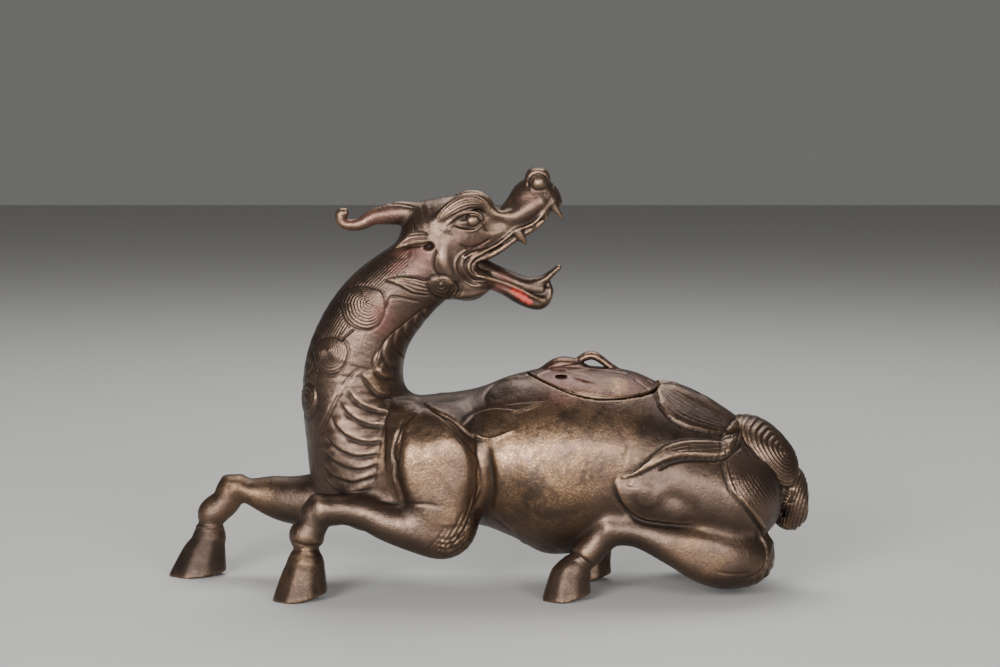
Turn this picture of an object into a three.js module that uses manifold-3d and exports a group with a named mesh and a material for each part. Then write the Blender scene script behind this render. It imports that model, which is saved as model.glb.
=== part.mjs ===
// Recumbent bronze qilin: a hollow cast vessel with a lift-off lid on its back.
// Millimetres, +Z up. The animal lies along X, its chest towards -X. The neck rises
// from the chest and turns right round, so the head looks back over the lid to +X.
import * as THREE from 'three';
import { mergeVertices } from 'three/addons/utils/BufferGeometryUtils.js';
import Module from 'manifold-3d';

const wasm = await Module();
wasm.setup();

// Driving dimensions
const FIGURE_LENGTH = 255;
const WALL = 4.5;
const LID_LENGTH = 51;
const LID_WIDTH = 50.4;
const LID_RISE = 0.6;
const LEDGE_THICKNESS = 1.9;
const LEDGE_WIDTH = 3.2;
const REST_GAP = 0.3;
const LID_CLEARANCE = 0.4;
const COLLAR_DEPTH = 3.5;
const COLLAR_WALL = 2;
const LOOP_STEM = 2.6;
const LOOP_SPAN = 17;
const LOOP_HEIGHT = 7.5;
const LID_HOLE_LENGTH = 5.2;
const LID_HOLE_WIDTH = 3;
const HOOF_HEIGHT = 16;
const HORN_LENGTH = 29;
const RIB_PITCH = 6;
const RIB_HEIGHT = 1.1;
const CURL_RADIUS = 7.7;
const CURL_CORD = 1.5;
const EYE_RADIUS = 3.2;
const FANG_LENGTH = 5.6;
const CORD_FOOT = 1.1;
const JOIN_TOLERANCE = 0.05;

// The lid's plate lies in a seat cut into the wall, over a ledge
const SEAT_DEPTH = WALL - LEDGE_THICKNESS;

// The stations below are drawn on a figure of this length and grow with it
const DRAWN_LENGTH = 255;
const SHARE = FIGURE_LENGTH / DRAWN_LENGTH;
const LID_CENTRE_X = 46.5 * SHARE;
const HEAD_Y = -8;
const BLOCK_LOW = 52 * SHARE;
const BLOCK_HIGH = 100 * SHARE;

// Stations are x, y, z, half width across, half depth
const TRUNK = [
  [-55, 0, 45, 13, 13], [-50, 0, 47, 20, 20], [-40, 0, 49, 26, 26], [-20, 0, 50, 29, 26.5],
  [0, 0, 52, 31, 27], [14, 0, 51.5, 34.5, 30.5], [27, 0, 50, 37, 36], [40, 0, 50.5, 38, 36.5],
  [55, 0, 51, 37, 34.5], [70, 0, 50, 35, 30], [85, 0, 47, 33, 26.5], [100, 0, 43, 28, 23],
  [111, 0, 40, 19, 17],
];
const NECK = [
  [-38, 0, 30, 25, 18], [-40, 0, 42, 26, 22], [-43, 0, 56, 26, 22], [-46, -1, 69, 23.5, 20.5],
  [-47, -2, 81, 20, 19.6], [-45.5, -4, 92, 17.5, 18.6], [-41, -5, 103, 16, 17.4],
  [-34.5, -7, 112, 14.5, 16.6], [-26, HEAD_Y, 120, 13, 15.2], [-16, HEAD_Y, 127.5, 12, 14],
];
const HEAD = [
  [-24, HEAD_Y, 136, 10, 8.5], [-15, HEAD_Y, 139, 12.6, 13], [-3, HEAD_Y, 140.5, 12.4, 13.4],
  [4.6, HEAD_Y, 141, 10.3, 11], [11, HEAD_Y, 142.4, 8.8, 8.6], [17.5, HEAD_Y, 148, 8.2, 8.4],
  [23, HEAD_Y, 152.6, 8.2, 9.4], [27.6, HEAD_Y, 153.4, 7.4, 7.6], [31.8, HEAD_Y, 151.6, 4.4, 3.6],
];
const JAW = [
  [-14, HEAD_Y, 124, 9, 7], [-7.3, HEAD_Y, 120.5, 10, 6.6], [-0.8, HEAD_Y, 119.2, 9.5, 6],
  [5.6, HEAD_Y, 118.8, 8.5, 4.8], [11.5, HEAD_Y, 117, 7.6, 3.6], [17.3, HEAD_Y, 114.8, 6.8, 3.2],
  [22.3, HEAD_Y, 112.8, 6, 2.9], [26, HEAD_Y, 113, 4.8, 2.9], [28.2, HEAD_Y, 117.4, 3.2, 1.9],
];
const TONGUE = [
  [-3, HEAD_Y, 124, 5, 4], [5, HEAD_Y, 124.2, 5, 3.4], [12.3, HEAD_Y, 121.6, 4.6, 3.4],
  [19.6, HEAD_Y, 119.4, 4.2, 3], [26.4, HEAD_Y, 121.1, 3.6, 1.8], [30.2, HEAD_Y, 124, 2.6, 1],
  [33.3, HEAD_Y, 126.5, 1.2, 0.6],
];

// Vector of figure coordinates at its true size
function spot(x, y, z) {
  return new THREE.Vector3(x, y, z).multiplyScalar(SHARE);
}

// Solid of a closed three.js geometry
function solid(geometry) {
  geometry.deleteAttribute('normal');
  geometry.deleteAttribute('uv');
  const merged = mergeVertices(geometry, 1e-4);
  const vertProperties = new Float32Array(merged.attributes.position.array);
  const triVerts = new Uint32Array(merged.index.array);
  return new wasm.Manifold(new wasm.Mesh({ numProp: 3, vertProperties, triVerts }));
}

// Geometry of a finished solid
function geometryOf(body) {
  const mesh = body.getMesh();
  const geometry = new THREE.BufferGeometry();
  geometry.setAttribute('position', new THREE.BufferAttribute(mesh.vertProperties, 3));
  geometry.setIndex(new THREE.BufferAttribute(mesh.triVerts, 1));
  geometry.computeVertexNormals();
  return geometry;
}

// Closed skin over rings of points that all have the same count
function skin(rings) {
  const sides = rings[0].length;
  const positions = rings.flat().flatMap((p) => [p.x, p.y, p.z]);
  const index = [];
  for (let i = 0; i < rings.length - 1; i += 1) {
    for (let j = 0; j < sides; j += 1) {
      const a = i * sides + j;
      const b = i * sides + (j + 1) % sides;
      index.push(a, b, b + sides, a, b + sides, a + sides);
    }
  }
  const last = (rings.length - 1) * sides;
  const first = positions.length / 3;
  for (const ring of [rings[0], rings[rings.length - 1]]) {
    const middle = ring.reduce((sum, p) => sum.add(p), new THREE.Vector3()).divideScalar(sides);
    positions.push(middle.x, middle.y, middle.z);
  }
  for (let j = 0; j < sides; j += 1) {
    const next = (j + 1) % sides;
    index.push(first, next, j);
    index.push(first + 1, last + j, last + next);
  }
  const geometry = new THREE.BufferGeometry();
  geometry.setAttribute('position', new THREE.Float32BufferAttribute(positions, 3));
  geometry.setIndex(index);
  return solid(geometry);
}

// A limb is a curve through stations with an oval section, wide along its across direction.
// Its parameter u counts stations, and angles turn from across (+Y) over deep.
class Limb {
  constructor(stations, grow = 0) {
    this.curve = new THREE.CatmullRomCurve3(stations.map((s) => spot(s[0], s[1], s[2])), false, 'centripetal');
    this.sizes = stations.map((s) => [s[3] * SHARE + grow, s[4] * SHARE + grow]);
    this.last = stations.length - 1;
  }

  frame(u) {
    const t = THREE.MathUtils.clamp(u / this.last, 0, 1);
    const centre = this.curve.getPoint(t);
    const along = this.curve.getTangent(t);
    const across = new THREE.Vector3(0, 1, 0).addScaledVector(along, -along.y).normalize();
    const deep = new THREE.Vector3().crossVectors(along, across);
    const k = Math.min(Math.floor(t * this.last), this.last - 1);
    const f = t * this.last - k;
    const wide = THREE.MathUtils.lerp(this.sizes[k][0], this.sizes[k + 1][0], f);
    const thick = THREE.MathUtils.lerp(this.sizes[k][1], this.sizes[k + 1][1], f);
    return { centre, along, across, deep, wide, thick };
  }

  point(u, angle, lift = 0) {
    const { centre, across, deep, wide, thick } = this.frame(u);
    return centre.clone()
      .addScaledVector(across, (wide + lift) * Math.cos(angle))
      .addScaledVector(deep, (thick + lift) * Math.sin(angle));
  }

  normal(u, angle) {
    const { across, deep, wide, thick } = this.frame(u);
    return new THREE.Vector3()
      .addScaledVector(across, Math.cos(angle) / wide)
      .addScaledVector(deep, Math.sin(angle) / thick)
      .normalize();
  }

  // Station number where the limb's middle passes x
  stationAt(x) {
    let low = 0;
    let high = this.last;
    for (let i = 0; i < 40; i += 1) {
      const middle = (low + high) / 2;
      if (this.frame(middle).centre.x < x) low = middle;
      else high = middle;
    }
    return low;
  }

  // Solid with domed ends, of so many sides and steps. Relief by ring, u and angle gives a
  // height and a slide along the limb.
  body(sides, steps, dome = 0.6, relief = () => [0, 0]) {
    const rings = [];
    const add = (u, shrink, push, number = -1) => {
      const { centre, along, across, deep, wide, thick } = this.frame(u);
      const middle = centre.clone().addScaledVector(along, push * Math.min(wide, thick));
      const ring = [];
      for (let j = 0; j < sides; j += 1) {
        const a = (2 * Math.PI * j) / sides;
        const [lift, slide] = number < 0 ? [0, 0] : relief(number, u, a);
        ring.push(middle.clone()
          .addScaledVector(along, slide)
          .addScaledVector(across, (wide * shrink + lift) * Math.cos(a))
          .addScaledVector(deep, (thick * shrink + lift) * Math.sin(a)));
      }
      rings.push(ring);
    };
    add(0, 0.6, -dome);
    for (let i = 0; i <= steps; i += 1) add((this.last * i) / steps, 1, 0, i);
    add(this.last, 0.6, dome);
    return skin(rings);
  }
}

// Oval ball, turned about Y by a pitch angle
function ball(centre, radii, pitch = 0, across = 8, down = 5) {
  const geometry = new THREE.SphereGeometry(1, across, down);
  geometry.scale(radii[0] * SHARE, radii[1] * SHARE, radii[2] * SHARE);
  geometry.rotateY(pitch);
  const at = spot(...centre);
  geometry.translate(at.x, at.y, at.z);
  return solid(geometry);
}

// Raised cord on a surface: a ridge with its foot sunk in. Each point has a place and a
// normal, and the cord tapers to both ends.
function cord(points, halfWidth, height, taper = 0.35) {
  const rings = points.map((p, i) => {
    const before = points[Math.max(i - 1, 0)].place;
    const after = points[Math.min(i + 1, points.length - 1)].place;
    const along = after.clone().sub(before).normalize();
    const side = new THREE.Vector3().crossVectors(along, p.normal).normalize();
    const up = new THREE.Vector3().crossVectors(side, along);
    const t = i / (points.length - 1);
    const full = taper + (1 - taper) * Math.sin(Math.PI * t) ** 0.6;
    const corner = (across, rise) => p.place.clone()
      .addScaledVector(side, across * halfWidth * full)
      .addScaledVector(up, rise * height * full);
    return [corner(0, 1), corner(1.4, -CORD_FOOT), corner(-1.4, -CORD_FOOT)];
  });
  return skin(rings);
}

// Points evened out along their row, so that a cord runs smoothly over the facets
function smoothed(points) {
  return points.map((p, i) => {
    const near = [points[Math.max(i - 1, 0)], p, p, points[Math.min(i + 1, points.length - 1)]];
    const place = new THREE.Vector3();
    const normal = new THREE.Vector3();
    near.forEach((q) => {
      place.addScaledVector(q.place, 0.25);
      normal.add(q.normal);
    });
    return { place: i === 0 || i === points.length - 1 ? p.place : place, normal: normal.normalize() };
  });
}

// Points on a limb's skin along a path of [u, angle in degrees]
function onLimb(limb, path, steps) {
  const curve = new THREE.CatmullRomCurve3(path.map((p) => new THREE.Vector3(p[0], p[1], 0)));
  return curve.getPoints(steps).map((p) => {
    const angle = THREE.MathUtils.degToRad(p.y);
    return { place: limb.point(p.x, angle), normal: limb.normal(p.x, angle) };
  });
}

// Points on a body's near (-1) or far (+1) side along a path of [x, z] seen from the side
function drape(body, side, path, steps) {
  const mesh = new THREE.Mesh(geometryOf(body), new THREE.MeshBasicMaterial({ side: THREE.DoubleSide }));
  mesh.updateMatrixWorld();
  const caster = new THREE.Raycaster();
  const curve = new THREE.CatmullRomCurve3(path.map((p) => spot(p[0], 0, p[1])));
  const points = [];
  for (const p of curve.getPoints(steps)) {
    caster.set(new THREE.Vector3(p.x, side * FIGURE_LENGTH, p.z), new THREE.Vector3(0, -side, 0));
    const hit = caster.intersectObject(mesh)[0];
    if (hit) {
      const normal = hit.face.normal.clone();
      normal.y = side * Math.max(0.5, Math.abs(normal.y));
      normal.normalize();
      points.push({ place: hit.point, normal });
    }
  }
  return smoothed(smoothed(points));
}

// Spiral cord on a limb's skin around the spot [u, angle]
function curl(limb, u, degrees, radius, turns, sense, start = 0) {
  const angle = THREE.MathUtils.degToRad(degrees);
  const { wide, thick } = limb.frame(u);
  const heading = limb.frame(u + 0.5).centre.distanceTo(limb.frame(u - 0.5).centre);
  const around = Math.hypot(wide * Math.sin(angle), thick * Math.cos(angle));
  const steps = Math.round(turns * 10);
  const points = [];
  for (let i = 0; i <= steps; i += 1) {
    const f = i / steps;
    const r = radius * (1 - 0.72 * f);
    const turn = start + sense * 2 * Math.PI * turns * f;
    const v = u + (r * Math.cos(turn)) / heading;
    const a = angle + (r * Math.sin(turn)) / around;
    points.push({ place: limb.point(v, a, 0.2), normal: limb.normal(v, a) });
  }
  return cord(points, CURL_CORD, CURL_CORD * 0.8, 0.6);
}

// Hoof with eight flat sides, its sole flat on the ground
function hoof(toe, heel, side, coronet) {
  const section = (front, back, middle, half, z) => {
    const ring = [];
    for (let j = 0; j < 8; j += 1) {
      const a = (2 * Math.PI * (j + 0.5)) / 8;
      const flat = 1 / Math.cos(Math.PI / 8);
      const x = (front + back) / 2 + ((back - front) / 2) * flat * Math.cos(a);
      ring.push(spot(x, middle + half * flat * Math.sin(a), z));
    }
    return ring;
  };
  const [front, back, z] = coronet;
  return skin([
    section(toe, heel, side, (heel - toe) * 0.42, 0),
    section(toe + 1, heel - 0.3, side, (heel - toe) * 0.42, 3),
    section(front, back, side, (back - front) * 0.46, z),
    section(front + 1.2, back - 1.2, side, (back - front) * 0.36, z + 2),
  ]);
}

// Leg made of stretches, each a list of stations
function leg(stretches, sides = 8) {
  return stretches.map((list) => new Limb(list).body(sides, list.length - 1));
}

function foreLegs() {
  return [
    ...leg([
      [[-7.5, -22, 36, 8, 9], [-9.2, -26, 29, 9, 10.8], [-12.8, -27.5, 27, 10, 11.2],
        [-21.3, -28, 27.8, 9, 9.6], [-32.1, -28, 30, 7.6, 7.6], [-40.5, -28, 33.2, 6.4, 6.4],
        [-49, -28, 35, 6.2, 6], [-57.5, -28, 34.8, 6.3, 5.8]],
      [[-57.6, -28, 37, 5.6, 5.2], [-60.4, -28, 32.5, 5.6, 5.6], [-62, -28, 28.5, 4.7, 4.5],
        [-63.8, -28, 23.4, 6.1, 6.2], [-64, -28, 19.4, 4.4, 3.9], [-65.4, -28, 14, 5.8, 5.4]],
    ]),
    ...leg([
      [[-34, 16, 40, 12, 13], [-48, 18, 36, 12, 12], [-62.1, 20, 33.4, 9.5, 9.4],
        [-73.7, 22, 32.4, 8, 8.3], [-83.4, 24, 34, 6.8, 6.9], [-94, 25, 35.7, 6.4, 5.8]],
      [[-94.5, 25, 38, 5.6, 5.4], [-97.8, 25, 34, 5.8, 5.6], [-100.8, 25, 30.2, 4.8, 4.9],
        [-104.8, 25, 24.8, 6, 6.1], [-105.8, 25, 20.4, 4.3, 4.2], [-107.2, 25, 15, 5.8, 5.6]],
    ]),
    hoof(-77, -57, -28, [-72.6, -58.4, HOOF_HEIGHT]),
    hoof(-122.8, -101, 25, [-114.2, -100.6, HOOF_HEIGHT]),
    ball([-14, -23, 45], [15.6, 14.5, 27.5], -0.1, 12, 8),
    ball([-24, 22, 46], [19, 14.5, 26], 0.3, 10, 6),
  ];
}

// Folded hind leg on one side: the shank lies along the ground line with the foot forward
function hindLeg(side, shift, footY) {
  const y = (value) => side * value;
  return [
    ...leg([
      [[109, y(20), 21, 6.8, 6.8], [106.4, y(23), 14.8, 8.8, 9.2], [98.8, y(26), 15.4, 10, 11.6],
        [88.8, y(28.5), 17.6, 10, 11.2], [77 + shift / 2, y(29), 21.8, 8.2, 8.6],
        [63 + shift, footY, 26.4, 6.4, 6.4], [51.2 + shift, footY, 27.6, 6.6, 6.8]],
      [[51.8 + shift, footY, 27.6, 5.8, 6.2], [47.4 + shift, footY, 22.8, 5, 5],
        [43.2 + shift, footY, 18, 4.8, 4.5], [38.5 + shift, footY, 13, 6, 5.6]],
    ]),
    hoof(26.6 + shift, 43.4 + shift, footY, [31.2 + shift, 44.6 + shift, HOOF_HEIGHT * 0.86]),
    ball([82, y(18), 41], [30, 18.5, 15], 0.12, 12, 7),
    ball([98, y(16), 36], [17, 18, 19], 0.4, 9, 6),
    ball([65.8, y(33.5), 41.8], [4.2, 3.6, 4.2], 0, 6, 4),
  ];
}

// Horn that runs back from the brow and rolls over at its tip
function horn() {
  const reach = HORN_LENGTH / 29;
  const root = [-21, 145];
  const line = [
    [-18, 144, 5, 5.6], [-23, 145.6, 4.4, 4.6], [-29, 147, 3.6, 3.4], [-36, 146, 2.9, 2.7],
    [-42.5, 143.2, 2.5, 2.3], [-47, 141.8, 2.2, 2], [-50.6, 143.4, 2, 1.8], [-51, 146.4, 1.8, 1.6],
    [-48.6, 147.4, 1.5, 1.4],
  ];
  const stations = line.map(([x, z, wide, thick]) => [
    root[0] + (x - root[0]) * reach, HEAD_Y, root[1] + (z - root[1]) * reach, wide, thick,
  ]);
  return new Limb(stations).body(6, 13, 0.8);
}

// What the head has on each side: cheek, eye, brow, nostril, ear and fangs
function headSide(side) {
  const y = (value) => HEAD_Y + side * value;
  const fang = (x, z, lean, length) => {
    const list = [[x, y(5), z + 3, 1.8, 1.8], [x + lean, y(5.8), z - length, 0.5, 0.5]];
    return new Limb(list).body(5, 1, 0.4);
  };
  return [
    ball([-12, y(7.5), 130], [10.5, 6, 11], -0.25, 9, 6),
    ball([-0.5, y(10.2), 144.8], [EYE_RADIUS, EYE_RADIUS, EYE_RADIUS]),
    ball([24.4, y(4.2), 160.2], [4.9, 4.2, 4.9], 0, 8, 6),
    new Limb([[-13, y(10), 143.4, 2, 1.6], [-6.5, y(11.4), 148.6, 2.4, 1.9],
      [-1, y(11), 150.4, 2.4, 2], [4.6, y(9), 148, 2, 1.8]]).body(4, 3),
    new Limb([[-12.5, y(8.6), 137, 2.4, 3], [-18.5, y(11.6), 137, 2.6, 3.2],
      [-24, y(13), 135.8, 1.8, 2.2], [-29, y(13.4), 134, 0.6, 0.8]]).body(4, 3),
    fang(31.2, 149.4, 0.8, FANG_LENGTH * 0.9),
    fang(18, 141, 0.3, FANG_LENGTH),
  ];
}

// Throat band: it winds from the chest round the near side to the jaw. Ribs cross it, each
// sagging in the middle, and every other ring of the neck's skin is a rib's crest.
function ribSteps(neck) {
  return 2 * Math.round(neck.curve.getLength() / RIB_PITCH);
}

function throatRib(ring, u, angle) {
  const from = 0.9;
  const to = NECK.length - 1.5;
  if (u < from || u > to) return [0, 0];
  const f = (u - from) / (to - from);
  const middle = 158 + 108 * THREE.MathUtils.smoothstep(u, 2.6, NECK.length - 2.5);
  const half = THREE.MathUtils.lerp(52, 46, f);
  const off = (THREE.MathUtils.radToDeg(angle) - middle) / half;
  if (Math.abs(off) > 1) return [0, 0];
  const fall = 1 - off * off;
  const sag = THREE.MathUtils.lerp(0.75, 0.3, f) * RIB_PITCH;
  return [(ring % 2 ? RIB_HEIGHT : -0.3 * RIB_HEIGHT) * Math.min(1, 2 * fall), -sag * fall * SHARE];
}

// Spirals along both borders of the mane
function maneCurls(neck) {
  const near = [[7.1, 160, 1], [5.3, 146, 0.83], [3.5, 116, 0.72]];
  const far = [[7.1, 22, 1], [5.2, -22, 0.83]];
  return [
    ...near.map(([u, angle, size]) => curl(neck, u, angle, CURL_RADIUS * size, 1.7, 1, 2.6)),
    ...far.map(([u, angle, size]) => curl(neck, u, angle, CURL_RADIUS * size, 1.2, -1, 2.6)),
  ];
}

// Tail mass, curled up over the rump, with its hair falling behind
function tail() {
  return [
    ball([106.5, 0, 46], [17, 18, 17.8], 0.25, 12, 9),
    new Limb([[101, 0, 60, 12, 8], [107, 0, 57.4, 14, 8.6], [112, 0, 52.6, 15, 9], [117, 0, 45.5, 14.5, 9],
      [122.4, 0, 38.5, 11.5, 7.9], [124.6, 0, 31.8, 9.5, 7.26], [121.2, 0, 26, 6.8, 4.8]]).body(10, 8),
  ];
}

// Locks of hair on one side, laid on the body as seen from the side: path, width, height
function locks(body, side) {
  const list = [
    [[[98, 55], [90, 62], [82, 69.5], [74, 76.5]], 4.6, 2],
    [[[97, 55], [82, 55], [68, 51.5], [56, 46.5]], 1.9, 1.4],
    [[[98, 52], [101, 43], [106, 34], [111, 27]], 3.4, 1.6],
    [[[118, 31], [121, 36], [124, 42], [123, 48]], 2.4, 1.4],
    [[[-30, 71], [-20, 68], [-12, 62], [-5, 55]], 1.4, 1.1],
    [[[-3, 61], [4, 66], [14, 68], [26, 68.5]], 1.6, 1.1],
    [[[-34, 121], [-27, 118], [-19, 115.8], [-13, 119]], 1.8, 1.3],
    [[[97, 53], [87, 58], [80, 63], [73, 71]], 3.4, 1.7],
    [[[54, 43], [58, 36.5], [68, 33], [80, 32.5]], 1.9, 1.3],
    [[[-1, 57], [6, 56.5], [12, 61], [22, 68]], 1.3, 1],
  ];
  const shown = side < 0 ? list : list.slice(0, 7);
  return shown.map(([path, width, height]) => {
    const points = drape(body, side, path, 5);
    return cord(points, width * SHARE, height * SHARE, 0.3);
  });
}

// Spiral of the tail on one side, seen from the side around [x, z]
function tailSpiral(body, side) {
  const path = [];
  for (let i = 0; i <= 9; i += 1) {
    const a = 2.4 - (i / 9) * 4 * Math.PI * 0.8;
    const r = 11 * (1 - 0.7 * (i / 9));
    path.push([112 + r * Math.cos(a), 50 + r * Math.sin(a)]);
  }
  return cord(drape(body, side, path, 15), 1.9 * SHARE, 1.4 * SHARE, 0.5);
}

// Jagged crest along the spine behind the lid
function crest(trunk) {
  const points = [];
  for (let i = 0; i <= 8; i += 1) {
    const u = 9.1 + i * 0.28;
    const lift = i % 2 ? -0.4 : 0.8;
    points.push({ place: trunk.point(u, Math.PI / 2, lift), normal: trunk.normal(u, Math.PI / 2) });
  }
  return [cord(points, 4.8 * SHARE, 2.5 * SHARE)];
}

// Outline of the leaf, pointed to the front, grown all round by an amount
function leafShape(grow) {
  const shape = new THREE.Shape();
  const steps = 28;
  for (let i = 0; i < steps; i += 1) {
    const a = (2 * Math.PI * i) / steps;
    const front = Math.max(0, -Math.cos(a));
    const half = (LID_WIDTH / 2 + grow) * (1 - 0.12 * front ** 2);
    const x = LID_CENTRE_X + (LID_LENGTH / 2 + grow) * Math.cos(a);
    const y = half * Math.sin(a);
    if (i === 0) shape.moveTo(x, y);
    else shape.lineTo(x, y);
  }
  shape.closePath();
  return shape;
}

// Upright block of the leaf's outline between two heights
function leafBlock(grow, low, high) {
  const geometry = new THREE.ExtrudeGeometry(leafShape(grow), { depth: high - low, bevelEnabled: false });
  geometry.translate(0, 0, low);
  return solid(geometry);
}

function trunkSkin(grow, sides = 24, steps = 15) {
  return new Limb(TRUNK, grow).body(sides, steps, 0.5);
}

// Lid: a plate that continues the back, a collar under it and a stem bent into a loop
function lid() {
  const underside = trunkSkin(REST_GAP - SEAT_DEPTH);
  const plate = leafBlock(0, BLOCK_LOW, BLOCK_HIGH).intersect(trunkSkin(LID_RISE)).subtract(underside);
  const collarEdge = -LEDGE_WIDTH - LID_CLEARANCE;
  const collar = leafBlock(collarEdge, BLOCK_LOW, BLOCK_HIGH)
    .subtract(leafBlock(collarEdge - COLLAR_WALL, BLOCK_LOW - 1, BLOCK_HIGH + 1))
    .intersect(trunkSkin(LID_RISE))
    .subtract(trunkSkin(-SEAT_DEPTH - COLLAR_DEPTH));
  const trunk = new Limb(TRUNK, LID_RISE);
  const place = (share, degrees) => [trunk.stationAt(LID_CENTRE_X + share * LID_LENGTH), degrees];
  const vein = onLimb(trunk, [place(-0.2, 110), place(-0.1, 112), place(0.02, 118)], 5);
  const band = onLimb(trunk, [place(-0.3, 95), place(-0.1, 97), place(0.1, 96), place(0.22, 93)], 6);
  const hole = new THREE.CylinderGeometry(1, 1, 30, 12);
  hole.scale(LID_HOLE_LENGTH / 2, 1, LID_HOLE_WIDTH / 2);
  hole.rotateX(Math.PI / 2);
  const [holeStation, holeDegrees] = place(-0.26, 113);
  const holeAt = trunk.point(holeStation, THREE.MathUtils.degToRad(holeDegrees));
  hole.translate(holeAt.x, holeAt.y, holeAt.z);
  const joined = wasm.Manifold.union([plate, collar, loop(trunk), cord(vein, 1, 0.8), cord(band, 1.6, 1.3)]);
  return outermost(joined.subtract(solid(hole)));
}

// Loop handle: a stem that leaves the plate in front, arches over and comes down behind
function loop(trunk) {
  const top = (x) => trunk.point(trunk.stationAt(x), Math.PI / 2).z;
  const front = LID_CENTRE_X - LOOP_SPAN * 0.75;
  const stem = [[0, -1, 0], [0.28, 0, 0.45], [0.66, 0, 1], [0.9, 0, 0.7], [1.3, -1, 0]];
  const stations = stem.map(([share, sink, raise]) => {
    const x = front + share * LOOP_SPAN;
    const z = top(x) + sink + raise * (LOOP_HEIGHT - LOOP_STEM / 2);
    return [x / SHARE, 0, z / SHARE, (LOOP_STEM * 0.62) / SHARE, LOOP_STEM / 2 / SHARE];
  });
  return new Limb(stations).body(6, 10, 0.3);
}

// Body: everything cast in one, then hollowed, with the seat for the lid
function body() {
  const trunk = new Limb(TRUNK);
  const neck = new Limb(NECK);
  const plain = wasm.Manifold.union([
    trunkSkin(0), neck.body(20, ribSteps(neck), 0.5, throatRib), new Limb(HEAD).body(12, 9),
    new Limb(JAW).body(8, 8), new Limb(TONGUE).body(6, 6), horn(), ...headSide(-1), ...headSide(1), ...foreLegs(),
    ...hindLeg(-1, 0, -28), ...hindLeg(1, 9.5, 15), ...tail(), ...crest(trunk),
  ]);
  const carved = outermost(wasm.Manifold.union([
    plain, ...maneCurls(neck), ...locks(plain, -1), ...locks(plain, 1),
    tailSpiral(plain, -1), tailSpiral(plain, 1),
  ]));
  const seat = leafBlock(LID_CLEARANCE, BLOCK_LOW, BLOCK_HIGH).subtract(trunkSkin(-SEAT_DEPTH));
  const mouth = leafBlock(-LEDGE_WIDTH, BLOCK_LOW, BLOCK_HIGH);
  const ground = new THREE.BoxGeometry(3 * FIGURE_LENGTH, FIGURE_LENGTH, 100);
  ground.translate(0, 0, -50);
  return outermost(carved.subtract(cavity()).subtract(seat).subtract(mouth).subtract(solid(ground)));
}

// Hollow of the vessel: the trunk's skin taken in by the wall, from the chest to the rump
function cavity() {
  return new Limb(TRUNK.slice(2, 12), -WALL).body(14, 9, 0.5);
}

// The one outer surface of a joined body, without the pockets and the hair-thin
// edges that are left where its parts meet
function outermost(manifold) {
  const largest = manifold.decompose().sort((a, b) => b.volume() - a.volume())[0];
  return largest.asOriginal().simplify(JOIN_TOLERANCE);
}

function mesh(name, manifold, colour, roughness) {
  const material = new THREE.MeshStandardMaterial({ color: colour, roughness, metalness: 0.85 });
  const item = new THREE.Mesh(geometryOf(manifold), material);
  item.name = name;
  return item;
}

// The origin is under the middle of the figure, on the ground
const figure = new THREE.Group();
const qilin = body();
figure.add(mesh('qilin', qilin, 0x54402f, 0.42));
figure.add(mesh('lid', lid(), 0x5a3a2c, 0.48));
const box = qilin.boundingBox();
figure.position.set(-(box.min[0] + box.max[0]) / 2, -(box.min[1] + box.max[1]) / 2, -box.min[2]);

export default figure;
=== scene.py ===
import math

import bmesh
import bpy
import numpy as np
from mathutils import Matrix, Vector


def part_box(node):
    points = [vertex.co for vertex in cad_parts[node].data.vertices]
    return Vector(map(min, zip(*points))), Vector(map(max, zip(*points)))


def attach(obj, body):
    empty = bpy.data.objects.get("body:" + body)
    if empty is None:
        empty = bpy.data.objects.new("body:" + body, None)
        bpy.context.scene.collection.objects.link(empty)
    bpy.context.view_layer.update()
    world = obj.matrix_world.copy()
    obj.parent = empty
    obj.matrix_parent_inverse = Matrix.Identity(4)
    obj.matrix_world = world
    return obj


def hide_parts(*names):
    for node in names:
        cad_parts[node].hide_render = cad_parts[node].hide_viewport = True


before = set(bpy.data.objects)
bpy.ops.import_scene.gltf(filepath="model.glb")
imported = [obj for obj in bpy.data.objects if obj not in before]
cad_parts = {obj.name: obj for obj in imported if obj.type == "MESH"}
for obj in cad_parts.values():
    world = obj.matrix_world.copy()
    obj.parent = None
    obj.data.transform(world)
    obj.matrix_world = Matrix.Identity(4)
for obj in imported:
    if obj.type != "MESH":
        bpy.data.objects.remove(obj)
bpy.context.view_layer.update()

# The view. The camera stands where the photograph was taken: square to the near side, a little
# above it, with a long lens. The same view is the drawing sheet of the chased lines: they are
# set out in its pixels, and each lands on the metal that lies behind it.
SHEET = (1000, 667)
LENS = 100.0
SENSOR = 36.0
EYE_DISTANCE = 1080.0
EYE_RISE = math.radians(5.5)
AIM = np.array([10.0, 0.0, 99.63])
FAR_TOE_X = -122.8
NEAREST_SEEN = 0.05

BACKWARD = np.array([0.0, -math.cos(EYE_RISE), math.sin(EYE_RISE)])
UPWARD = np.array([0.0, math.sin(EYE_RISE), math.cos(EYE_RISE)])
EYE = AIM + EYE_DISTANCE * BACKWARD
PIXELS = LENS / SENSOR * SHEET[0]

# The figure is drawn in millimetres, and its far forefoot's toe places it in the frame
SHIFT = np.array([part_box("qilin")[0].x * 1000 - FAR_TOE_X, 0.0, 0.0])


def in_frame(points):
    """Places in metres, in the frame, of points of the drawn figure."""
    return (np.asarray(points) + SHIFT) / 1000


def on_sheet(points):
    """Pixels at which points of the drawn figure are seen."""
    seen = points - EYE
    far = -(seen @ BACKWARD)
    across = SHEET[0] / 2 + PIXELS * seen[:, 0] / far
    down = SHEET[1] / 2 - PIXELS * (seen @ UPWARD) / far
    return np.stack([across, down], axis=1)


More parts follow.
